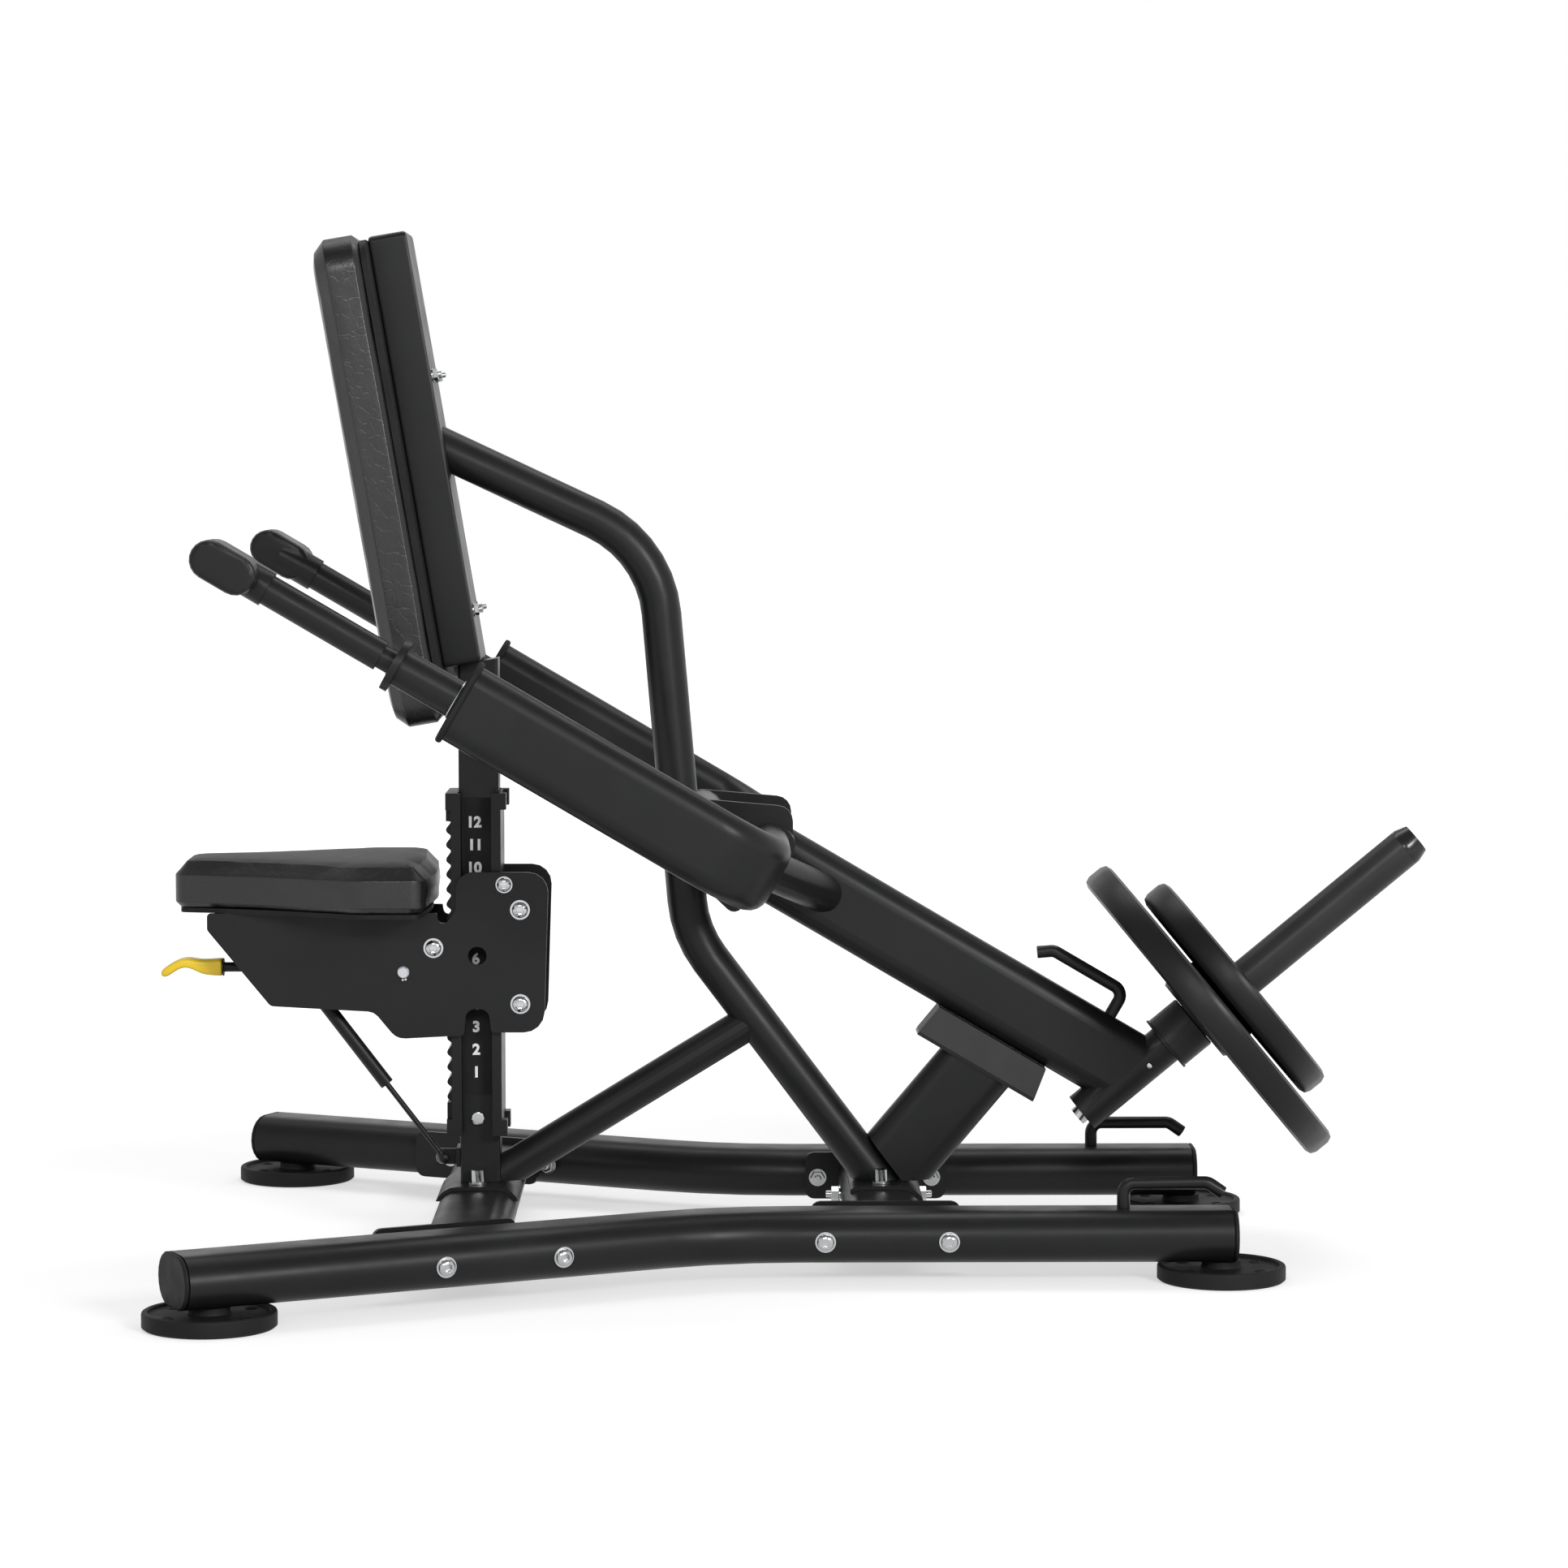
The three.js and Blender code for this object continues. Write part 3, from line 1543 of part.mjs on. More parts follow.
const seat = new THREE.Group();
seat.add(
  piece("carriage", carriage(), paint),
  piece("roller_upper", roller(rollerRadius, rollerX, upperRollerZ), plastic),
  piece("roller_lower", roller(rollerRadius, rollerX, lowerRollerZ), plastic),
  piece("roller_front", roller(frontRollerRadius, frontRollerX, frontRollerZ), plastic),
  piece("seat_board", seatBoard(), plastic),
  piece("seat_pad", seatPad(), vinyl),
  piece("latch_lever", latchLever(), yellow),
  piece("gas_spring_cylinder", springCylinder(), darkPaint),
  piece("gas_spring_rod", springRod(), darkPaint),
  piece("gas_spring_bracket", springBracket(), paint),
);

const machine = new THREE.Group();
machine.name = "seated_dip_machine";
machine.position.x = -middleX;
machine.add(base, frame, back, lever, seat);

export default machine;
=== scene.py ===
"""A seated dip machine: materials, cushions, small fasteners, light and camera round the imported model."""
import math

import bmesh
import bpy
from mathutils import Matrix, Vector
from mathutils.geometry import delaunay_2d_cdt
from mathutils.kdtree import KDTree


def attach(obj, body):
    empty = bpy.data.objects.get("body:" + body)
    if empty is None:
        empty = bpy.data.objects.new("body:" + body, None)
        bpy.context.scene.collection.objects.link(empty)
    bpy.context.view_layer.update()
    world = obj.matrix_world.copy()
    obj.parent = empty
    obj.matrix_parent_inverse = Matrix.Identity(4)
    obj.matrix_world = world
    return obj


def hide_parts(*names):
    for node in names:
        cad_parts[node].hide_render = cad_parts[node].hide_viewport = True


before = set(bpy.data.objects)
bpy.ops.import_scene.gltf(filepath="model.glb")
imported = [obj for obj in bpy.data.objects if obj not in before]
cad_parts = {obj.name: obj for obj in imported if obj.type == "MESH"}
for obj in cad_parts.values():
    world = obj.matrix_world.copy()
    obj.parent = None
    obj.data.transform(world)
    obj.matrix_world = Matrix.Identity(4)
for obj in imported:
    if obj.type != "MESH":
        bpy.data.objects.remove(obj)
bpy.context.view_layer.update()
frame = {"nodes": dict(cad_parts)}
nodes = frame["nodes"]

MM = 0.001
MIDDLE_X = -83.4
LEVER_SLOPE = math.radians(30.45)
BACK_LEAN = math.radians(9.7)
PIVOT = (58.8, 524.0)
SIDES = {"left": -1, "right": 1}


def point(x, y, z):
    """A place in the machine's own millimetres as metres in the row frame."""
    return Vector(((x + MIDDLE_X) * MM, y * MM, z * MM))


ROW = Matrix.Translation(point(0, 0, 0))
LEVER = Matrix.Translation(point(PIVOT[0], 0, PIVOT[1])) @ Matrix.Rotation(LEVER_SLOPE, 4, "Y")
BACK = ROW @ Matrix.Rotation(-BACK_LEAN, 4, "Y")


# Materials


class Nodes:
    """A node tree and short ways to add to it."""

    def __init__(self, tree):
        self.tree = tree

    def add(self, kind, **values):
        node = self.tree.nodes.new(kind)
        for key, value in values.items():
            setattr(node, key, value)
        return node

    def link(self, start, end):
        self.tree.links.new(start, end)

    def ramp(self, value, low, high, start=0.0, end=1.0):
        node = self.add("ShaderNodeMapRange")
        node.inputs["From Min"].default_value = low
        node.inputs["From Max"].default_value = high
        node.inputs["To Min"].default_value = start
        node.inputs["To Max"].default_value = end
        self.link(value, node.inputs["Value"])
        return node.outputs["Result"]

    def product(self, first, second):
        node = self.add("ShaderNodeMath", operation="MULTIPLY")
        self.link(first, node.inputs[0])
        self.link(second, node.inputs[1])
        return node.outputs["Value"]


class Shader(Nodes):
    """A node material with its Principled shader."""

    def __init__(self, name):
        self.material = bpy.data.materials.new(name)
        self.material.use_nodes = True
        super().__init__(self.material.node_tree)
        self.shader = self.tree.nodes["Principled BSDF"]
        self.place = self.add("ShaderNodeTexCoord").outputs["Object"]

    def noise(self, scale, detail=3.0, rough=0.5, stretch=None):
        node = self.add("ShaderNodeTexNoise")
        node.inputs["Scale"].default_value = scale
        node.inputs["Detail"].default_value = detail
        node.inputs["Roughness"].default_value = rough
        self.link(self.stretched(stretch), node.inputs["Vector"])
        return node.outputs["Fac"]

    def cells(self, scale, wobble, stretch=None):
        """Distance to the edges of wobbling cells."""
        node = self.add("ShaderNodeTexVoronoi", feature="DISTANCE_TO_EDGE")
        node.inputs["Scale"].default_value = scale
        vector = self.wobbled(self.stretched(stretch), scale * 0.6, wobble)
        self.link(vector, node.inputs["Vector"])
        return node.outputs["Distance"]

    def stretched(self, stretch):
        if stretch is None:
            return self.place
        mapping = self.add("ShaderNodeMapping")
        mapping.inputs["Scale"].default_value = stretch
        self.link(self.place, mapping.inputs["Vector"])
        return mapping.outputs["Vector"]

    def wobbled(self, vector, scale, amount):
        noise = self.add("ShaderNodeTexNoise")
        noise.inputs["Scale"].default_value = scale
        self.link(vector, noise.inputs["Vector"])
        step = self.add("ShaderNodeVectorMath", operation="MULTIPLY_ADD")
        self.link(noise.outputs["Color"], step.inputs[0])
        step.inputs[1].default_value = (amount, amount, amount)
        self.link(vector, step.inputs[2])
        return step.outputs["Vector"]

    def sum(self, first, second, share):
        node = self.add("ShaderNodeMath", operation="MULTIPLY_ADD")
        self.link(second, node.inputs[0])
        node.inputs[1].default_value = share
        self.link(first, node.inputs[2])
        return node.outputs["Value"]

    def colours(self, value, dark, light):
        node = self.add("ShaderNodeMix", data_type="RGBA")
        self.link(value, node.inputs["Factor"])
        node.inputs["A"].default_value = (*dark, 1)
        node.inputs["B"].default_value = (*light, 1)
        self.link(node.outputs["Result"], self.shader.inputs["Base Color"])

    def roughness(self, value):
        self.link(value, self.shader.inputs["Roughness"])

    def bump(self, height, distance, strength):
        node = self.add("ShaderNodeBump")
        node.inputs["Distance"].default_value = distance
        node.inputs["Strength"].default_value = strength
        self.link(height, node.inputs["Height"])
        self.link(node.outputs["Normal"], self.shader.inputs["Normal"])

    def set(self, **values):
        for key, value in values.items():
            self.shader.inputs[key.replace("_", " ")].default_value = value


def paint(name, dark, light, rough, gloss=0.5, grain=1500.0):
    """Powder coat: an even satin skin with a fine orange peel and faint cloudy wear."""
    made = Shader(name)
    cloud = made.noise(7.0, detail=5.0, rough=0.6)
    made.colours(made.ramp(cloud, 0.3, 0.7), dark, light)
    fine = made.noise(grain, detail=2.0)
    patch = made.noise(24.0, detail=3.0)
    made.roughness(made.ramp(patch, 0.3, 0.7, rough - 0.04, rough + 0.05))
    made.bump(made.sum(fine, made.noise(grain * 0.35, detail=1.0), 0.6), 0.00005, 0.5)
    made.set(Specular_IOR_Level=gloss, IOR=1.28)
    return made.material


def vinyl():
    """Black upholstery vinyl: a crackled leather grain over soft creases, dulled on top by use."""
    made = Shader("black_vinyl")
    cloud = made.noise(9.0, detail=4.0)
    made.colours(made.ramp(cloud, 0.3, 0.7), (0.003, 0.003, 0.0032), (0.006, 0.006, 0.0063))
    crackle = made.ramp(made.cells(95.0, 0.006, stretch=(1.0, 1.0, 0.6)), 0.0, 0.05)
    pebble = made.ramp(made.cells(620.0, 0.001), 0.0, 0.4)
    fold = made.noise(17.0, detail=4.0, rough=0.55, stretch=(1.0, 0.7, 1.4))
    height = made.sum(made.sum(crackle, pebble, 0.12), fold, 7.0)
    made.bump(height, 0.00012, 0.8)
    facing = made.add("ShaderNodeSeparateXYZ")
    made.link(made.add("ShaderNodeNewGeometry").outputs["Normal"], facing.inputs[0])
    worn = made.ramp(facing.outputs["Z"], 0.5, 0.97, 0.27, 0.52)
    made.roughness(made.sum(worn, made.noise(60.0, detail=4.0), 0.1))
    made.set(Specular_IOR_Level=0.5, IOR=1.5)
    return made.material


def metal(name, colour, rough, brushed=None):
    made = Shader(name)
    streak = made.noise(420.0, detail=4.0, stretch=brushed) if brushed else made.noise(60.0)
    shade = tuple(value * 0.9 for value in colour)
    made.colours(made.ramp(streak, 0.3, 0.7), shade, colour)
    made.roughness(made.ramp(streak, 0.3, 0.7, rough * 0.75, rough * 1.35))
    made.bump(streak, 0.00002, 0.3)
    made.set(Metallic=1.0)
    return made.material


def moulded(name, dark, light, rough, gloss=0.16, depth=0.00008):
    """Moulded rubber or plastic with a fine spark-eroded grain."""
    made = Shader(name)
    made.colours(made.ramp(made.noise(14.0, detail=4.0), 0.3, 0.7), dark, light)
    made.bump(made.noise(900.0, detail=3.0, rough=0.6), depth, 0.5)
    made.roughness(made.ramp(made.noise(40.0), 0.3, 0.7, rough - 0.05, rough + 0.05))
    made.set(Specular_IOR_Level=gloss)
    return made.material


PAINT = paint("black_powder_coat", (0.008, 0.0082, 0.0086), (0.0115, 0.0117, 0.0122), 0.36)
DARK = paint("dark_steel_coat", (0.0075, 0.0075, 0.008), (0.011, 0.011, 0.0115), 0.38)
IRON = paint("plate_enamel", (0.006, 0.006, 0.0065), (0.009, 0.009, 0.0095), 0.36, grain=900.0)
CHROME = metal("chrome", (0.46, 0.465, 0.47), 0.16)
STEEL = metal("zinc_steel", (0.5, 0.51, 0.53), 0.28, brushed=(1.0, 6.0, 1.0))
HORN_COAT = paint("horn_coat", (0.016, 0.016, 0.0165), (0.027, 0.027, 0.028), 0.36, grain=500.0)
POLISHED = paint("gloss_black", (0.008, 0.008, 0.0085), (0.011, 0.011, 0.0115), 0.22, 0.8)
VINYL = vinyl()
RUBBER = moulded("handle_rubber", (0.014, 0.014, 0.0145), (0.02, 0.02, 0.021), 0.55, 0.4)
PLASTIC = moulded("black_plastic", (0.009, 0.009, 0.0095), (0.013, 0.013, 0.0135), 0.62)
YELLOW = moulded("yellow_handle", (0.78, 0.53, 0.012), (0.84, 0.59, 0.02), 0.33, 0.5, depth=0.00003)
WHITE = moulded("white_numerals", (0.82, 0.82, 0.82), (0.88, 0.88, 0.88), 0.5, 0.5, depth=0.00002)

# The surfaces of the nodes that aren't in plain frame paint.
SURFACES = {
    "rack": DARK,
    "rear_guide": DARK,
    "gas_spring_cylinder": DARK,
    "weight_plate_large": IRON,
    "weight_plate_small": IRON,
    "horn": HORN_COAT,
    "horn_end_cap": POLISHED,
    "gas_spring_rod": POLISHED,
    "stop_bumper": RUBBER,
    "back_board": PLASTIC,
    "seat_board": PLASTIC,
    "number_strip": PLASTIC,
    "latch_lever": DARK,
}
BRIGHT = "saddle_bolt post_plug pivot_axle horn_bolt".split()
BLACK_PLASTIC = "rail_cap arm_cap roller foot".split()


def surface_of(name):
    if name in SURFACES:
        return SURFACES[name]
    if any(name.startswith(start) for start in BRIGHT):
        return CHROME
    if any(name.startswith(start) for start in BLACK_PLASTIC):
        return PLASTIC
    return PAINT


# Fine surfaces


MERGE_DISTANCE = 0.00001
SHARP_ANGLE = math.radians(32)


def smoothing_group():
    """Smooth faces with sharp edges where the surface turns by more than the sharp angle."""
    group = bpy.data.node_groups.new("smooth_surface", "GeometryNodeTree")
    group.interface.new_socket("Geometry", in_out="INPUT", socket_type="NodeSocketGeometry")
    group.interface.new_socket("Geometry", in_out="OUTPUT", socket_type="NodeSocketGeometry")
    start = group.nodes.new("NodeGroupInput")
    end = group.nodes.new("NodeGroupOutput")
    merge = group.nodes.new("GeometryNodeMergeByDistance")
    merge.inputs["Distance"].default_value = MERGE_DISTANCE
    faces = group.nodes.new("GeometryNodeSetShadeSmooth")
    edges = group.nodes.new("GeometryNodeSetShadeSmooth")
    edges.domain = "EDGE"
    angle = group.nodes.new("GeometryNodeInputMeshEdgeAngle")
    compare = group.nodes.new("FunctionNodeCompare")
    compare.operation = "LESS_THAN"
    compare.inputs[1].default_value = SHARP_ANGLE
    link = group.links.new
    link(start.outputs[0], merge.inputs["Geometry"])
    link(merge.outputs["Geometry"], faces.inputs["Geometry"])
    link(faces.outputs["Geometry"], edges.inputs["Geometry"])
    link(angle.outputs["Unsigned Angle"], compare.inputs[0])
    link(compare.outputs["Result"], edges.inputs["Shade Smooth"])
    link(edges.outputs["Geometry"], end.inputs[0])
    return group


SMOOTHING = smoothing_group()


def refine(obj):
    """Shades an object's curved faces smoothly and keeps its edges sharp."""
    smooth = obj.modifiers.new("smooth", "NODES")
    smooth.node_group = SMOOTHING
    weight = obj.modifiers.new("weight", "WEIGHTED_NORMAL")
    weight.keep_sharp = True


def dress(obj, material):
    obj.data.materials.clear()
    obj.data.materials.append(material)


for name, node in nodes.items():
    dress(node, surface_of(name))
    refine(node)


# Mesh tools


def piece(name, mesh, material, body, matrix=None, replaced=(), fine=True):
    """A new object from a bmesh, placed, dressed and riding on a body."""
    data = bpy.data.meshes.new(name)
    if matrix is not None:
        mesh.transform(matrix)
    bmesh.ops.recalc_face_normals(mesh, faces=mesh.faces)
    mesh.to_mesh(data)
    mesh.free()
    obj = bpy.data.objects.new(name, data)
    bpy.context.scene.collection.objects.link(obj)
    data.materials.append(material)
    if fine:
        refine(obj)
    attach(obj, body)
    if replaced:
        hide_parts(*replaced)
    return obj


def turned(profile, sides=48):
    """A body of revolution round Z from (radius, height) rows in millimetres."""
    mesh = bmesh.new()
    rings = []
    for radius, height in profile:
        if radius == 0:
            rings.append([mesh.verts.new((0, 0, height * MM))])
            continue
        ring = []
        for side in range(sides):
            angle = 2 * math.pi * side / sides
            place = (radius * MM * math.cos(angle), radius * MM * math.sin(angle), height * MM)
            ring.append(mesh.verts.new(place))
        rings.append(ring)
    for lower, upper in zip(rings, rings[1:]):
        for side in range(sides):
            after = (side + 1) % sides
            if len(lower) == 1 and len(upper) == 1:
                continue
            if len(lower) == 1:
                mesh.faces.new((lower[0], upper[after], upper[side]))
            elif len(upper) == 1:
                mesh.faces.new((lower[side], lower[after], upper[0]))
            else:
                mesh.faces.new((lower[side], lower[after], upper[after], upper[side]))
    return mesh


def towards(start, direction):
    """A frame at a place in metres whose Z points along a direction."""
    turn = Vector((0, 0, 1)).rotation_difference(Vector(direction)).to_matrix().to_4x4()
    return Matrix.Translation(start) @ turn


def hexagon(across_flats, height, chamfer=1.0):
    radius = across_flats / math.sqrt(3)
    rows = [
        (0, 0),
        (radius - chamfer, 0),
        (radius, chamfer * 0.6),
        (radius, height - chamfer * 0.6),
        (radius - chamfer, height),
        (0, height),
    ]
    return turned(rows, 6)


def socket_head(radius, height, socket):
    """A button-head screw with a six-sided socket in its crown."""
    rows = [(0, 0), (radius, 0), (radius, height * 0.18)]
    for step in range(1, 6):
        angle = math.radians(90 * step / 6)
        rows.append((radius * math.cos(angle * 0.8), height * (0.18 + 0.82 * math.sin(angle))))
    rows += [(socket * 1.12, height), (socket, height * 0.95), (socket * 0.98, height * 0.15)]
    rows.append((0, height * 0.1))
    mesh = turned(rows, 48)
    for vertex in mesh.verts:
        reach = math.hypot(vertex.co.x, vertex.co.y)
        if reach > socket * 1.02 * MM:
            continue
        turn = math.atan2(vertex.co.y, vertex.co.x) % (math.pi / 3) - math.pi / 6
        share = math.cos(math.pi / 6) / math.cos(turn)
        vertex.co.x *= share
        vertex.co.y *= share
    return mesh


WASHER_EDGE = 1.2
WASHER_HEIGHT = 1.6
HEAD_LIFT = 1.3


def screw(name, start, direction, radius, height, body, washer=0.0):
    """A button-head screw, over a washer that stands out by a width where that isn't zero."""
    matrix = towards(start, direction)
    if washer:
        rim = radius + washer
        rows = [(0, 0), (rim, 0), (rim, WASHER_EDGE), (0, WASHER_HEIGHT)]
        piece(name + "_washer", turned(rows, 32), STEEL, body, matrix)
        matrix = matrix @ Matrix.Translation((0, 0, HEAD_LIFT * MM))
    head = socket_head(radius, height, radius * 0.5)
    piece(name, head, CHROME, body, matrix)


def nut(name, start, direction, flats, height, body, washer=3.0, stud=3.0):
    """A washer, a hexagon nut and the stud that ends beyond it."""
    matrix = towards(start, direction)
    rim = flats / 2 + washer
    rows = [(0, 0), (rim, 0), (rim, WASHER_HEIGHT), (0, WASHER_HEIGHT)]
    piece(name + "_washer", turned(rows, 32), CHROME, body, matrix)
    lifted = matrix @ Matrix.Translation((0, 0, WASHER_HEIGHT * MM))
    piece(name, hexagon(flats, height), CHROME, body, lifted)
    rows = [(0, 0), (flats * 0.27, 0), (flats * 0.27, stud), (flats * 0.2, stud + 1), (0, stud + 1)]
    lifted = lifted @ Matrix.Translation((0, 0, height * MM))
    piece(name + "_stud", turned(rows, 24), CHROME, body, lifted)


def rounded_outline(corners, step=math.radians(9)):
    """Points of a closed outline whose corners (x, y, radius) are rounded."""
    points = []
    count = len(corners)
    for index, (x, y, radius) in enumerate(corners):
        here = Vector((x, y))
        before = Vector(corners[index - 1][:2])
        after = Vector(corners[(index + 1) % count][:2])
        arrive = (here - before).normalized()
        leave = (after - here).normalized()
        turn = arrive.angle(leave)
        if radius == 0 or turn < 1e-4:
            points.append(here)
            continue
        inward = (leave - arrive * leave.dot(arrive)).normalized()
        start = here - arrive * radius * math.tan(turn / 2)
        steps = max(1, math.ceil(turn / step))
        for part in range(steps + 1):
            angle = turn * part / steps
            points.append(
                start + arrive * radius * math.sin(angle) + inward * radius * (1 - math.cos(angle))
            )
    return points


def inset_outline(points, distance):
    """The outline moved inwards by a distance; it runs counter-clockwise."""
    moved = []
    count = len(points)
    for index, here in enumerate(points):
        arrive = (here - points[index - 1]).normalized()
        leave = (points[(index + 1) % count] - here).normalized()
        normal = Vector((-(arrive.y + leave.y), arrive.x + leave.x)).normalized()
        moved.append(here + normal * distance)
    return moved


def stacked(points, layers):
    """A closed body from an outline repeated at (height, inset) layers, in millimetres."""
    mesh = bmesh.new()
    rings = []
    for height, inset in layers:
        ring = [
            mesh.verts.new((place.x * MM, place.y * MM, height * MM))
            for place in inset_outline(points, inset)
        ]
        rings.append(ring)
    count = len(points)
    for lower, upper in zip(rings, rings[1:]):
        for side in range(count):
            after = (side + 1) % count
            mesh.faces.new((lower[side], lower[after], upper[after], upper[side]))
    mesh.faces.new(list(reversed(rings[0])))
    mesh.faces.new(rings[-1])
    return mesh


# Cushions


def layered_points(profile, radius, step):
    """A section's corner points (height, inset) with small rounded corners, cut into short steps."""
    rows = [profile[0]]
    for before, here, after in zip(profile, profile[1:], profile[2:]):
        before, here, after = Vector(before), Vector(here), Vector(after)
        back = (before - here).normalized()
        ahead = (after - here).normalized()
        for share in (0.0, 0.25, 0.5, 0.75, 1.0):
            start = here + back * radius * (1 - share) ** 2
            rows.append(tuple(start + ahead * radius * share**2))
    rows.append(profile[-1])
    fine = [rows[0]]
    for before, here in zip(rows, rows[1:]):
        before, here = Vector(before), Vector(here)
        parts = max(1, math.ceil((here - before).length / step))
        fine += [tuple(before.lerp(here, part / parts)) for part in range(1, parts + 1)]
    return fine


def resampled(points, step):
    """A closed outline with no side longer than a step."""
    fine = []
    count = len(points)
    for index, here in enumerate(points):
        after = points[(index + 1) % count]
        parts = max(1, math.ceil((after - here).length / step))
        fine += [here.lerp(after, part / parts) for part in range(parts)]
    return fine


def distance_to(outline, place):
    """The distance from a place inside a closed outline to its nearest side."""
    best = 1e9
    count = len(outline)
    for index, start in enumerate(outline):
        end = outline[(index + 1) % count]
        side = end - start
        share = max(0.0, min(1.0, (place - start).dot(side) / side.length_squared))
        best = min(best, (start + side * share - place).length)
    return best


# Rows of a triangular grid lie this share of its spacing apart.
ROW_SHARE = 0.87


def face_of(mesh, ring, outline, height, crown, width, spacing, upwards):
    """Fills a ring of vertices with a fine crowned face."""
    low = Vector((min(place.x for place in outline), min(place.y for place in outline)))
    high = Vector((max(place.x for place in outline), max(place.y for place in outline)))
    inner = []
    row = 0
    y = low.y + spacing / 2
    while y < high.y:
        x = low.x + spacing / 2 + (spacing / 2 if row % 2 else 0)
        while x < high.x:
            place = Vector((x, y))
            if inside(outline, place) and distance_to(outline, place) > spacing * 0.6:
                inner.append(place)
            x += spacing
        y += spacing * ROW_SHARE
        row += 1
    corners = [*outline, *inner]
    edges = [(index, (index + 1) % len(outline)) for index in range(len(outline))]
    found = delaunay_2d_cdt(corners, edges, [], 1, 1e-6)
    places, faces = found[0], found[2]
    vertices = []
    for index, place in enumerate(places):
        if index < len(ring):
            vertices.append(ring[index])
            continue
        share = min(1.0, distance_to(outline, place) / width)
        rise = crown * (1 - (1 - share) ** 2)
        vertices.append(mesh.verts.new((place.x * MM, place.y * MM, (height + rise) * MM)))
    for face in faces:
        order = face if upwards else reversed(face)
        mesh.faces.new([vertices[index] for index in order])


def inside(outline, place):
    within = False
    count = len(outline)
    for index, start in enumerate(outline):
        end = outline[(index + 1) % count]
        if (start.y > place.y) != (end.y > place.y):
            cut = start.x + (place.y - start.y) * (end.x - start.x) / (end.y - start.y)
            if place.x < cut:
                within = not within
    return within


SWELL_CAP = 0.0035
SWELL_PRESSURE = 4.0
SWELL_VOXEL = 0.005
SWELL_FRAMES = 20
SWELL_NEIGHBOURS = 10
SWELL_SOFTENING = 0.003


def swelling(shape):
    """How far each place of a closed shape moves when cloth under pressure is filled: (tree, moves)."""
    obj = bpy.data.objects.new("swelling", shape.copy())
    obj.matrix_world = Matrix.Identity(4)
    bpy.context.scene.collection.objects.link(obj)
    remesh = obj.modifiers.new("remesh", "REMESH")
    remesh.mode = "VOXEL"
    remesh.voxel_size = SWELL_VOXEL
    depsgraph = bpy.context.evaluated_depsgraph_get()
    data = bpy.data.meshes.new_from_object(obj.evaluated_get(depsgraph))
    obj.modifiers.clear()
    obj.data = data
    cloth = obj.modifiers.new("cloth", "CLOTH")
    settings = cloth.settings
    settings.quality = 5
    settings.mass = 0.3
    settings.tension_stiffness = 30
    settings.compression_stiffness = 30
    settings.shear_stiffness = 10
    settings.bending_stiffness = 4
    settings.use_pressure = True
    settings.uniform_pressure_force = SWELL_PRESSURE
    settings.effector_weights.gravity = 0
    cloth.point_cache.frame_start = 1
    cloth.point_cache.frame_end = SWELL_FRAMES
    before = [vertex.co.copy() for vertex in data.vertices]
    scene = bpy.context.scene
    for number in range(1, SWELL_FRAMES + 1):
        scene.frame_set(number)
    depsgraph = bpy.context.evaluated_depsgraph_get()
    after = [vertex.co.copy() for vertex in obj.evaluated_get(depsgraph).data.vertices]
    obj.modifiers.clear()
    scene.frame_set(1)
    tree = KDTree(len(before))
    moves = []
    for index, (start, end) in enumerate(zip(before, after)):
        tree.insert(start, index)
        travel = end - start
        if travel.length > SWELL_CAP:
            travel *= SWELL_CAP / travel.length
        moves.append(travel)
    tree.balance()
    bpy.data.objects.remove(obj)
    return tree, moves


def swell(mesh, tree, moves):
    """Moves every vertex as the filled cloth moves round it."""
    for vertex in mesh.vertices:
        total = Vector()
        weight = 0.0
        for _, index, distance in tree.find_n(vertex.co, SWELL_NEIGHBOURS):
            share = 1 / (distance + SWELL_SOFTENING)
            total += moves[index] * share
            weight += share
        vertex.co += total / weight


PANEL_ROUNDING = 1.1
PANEL_STEP = 5.0
OUTLINE_SIDE = 6.0
BOARD_GAP = 0.4
FLAT_SPACING = 12.0
CROWNED_SPACING = 7.0
CROWN_WIDTH = 60.0
CROWN_INSET = 7


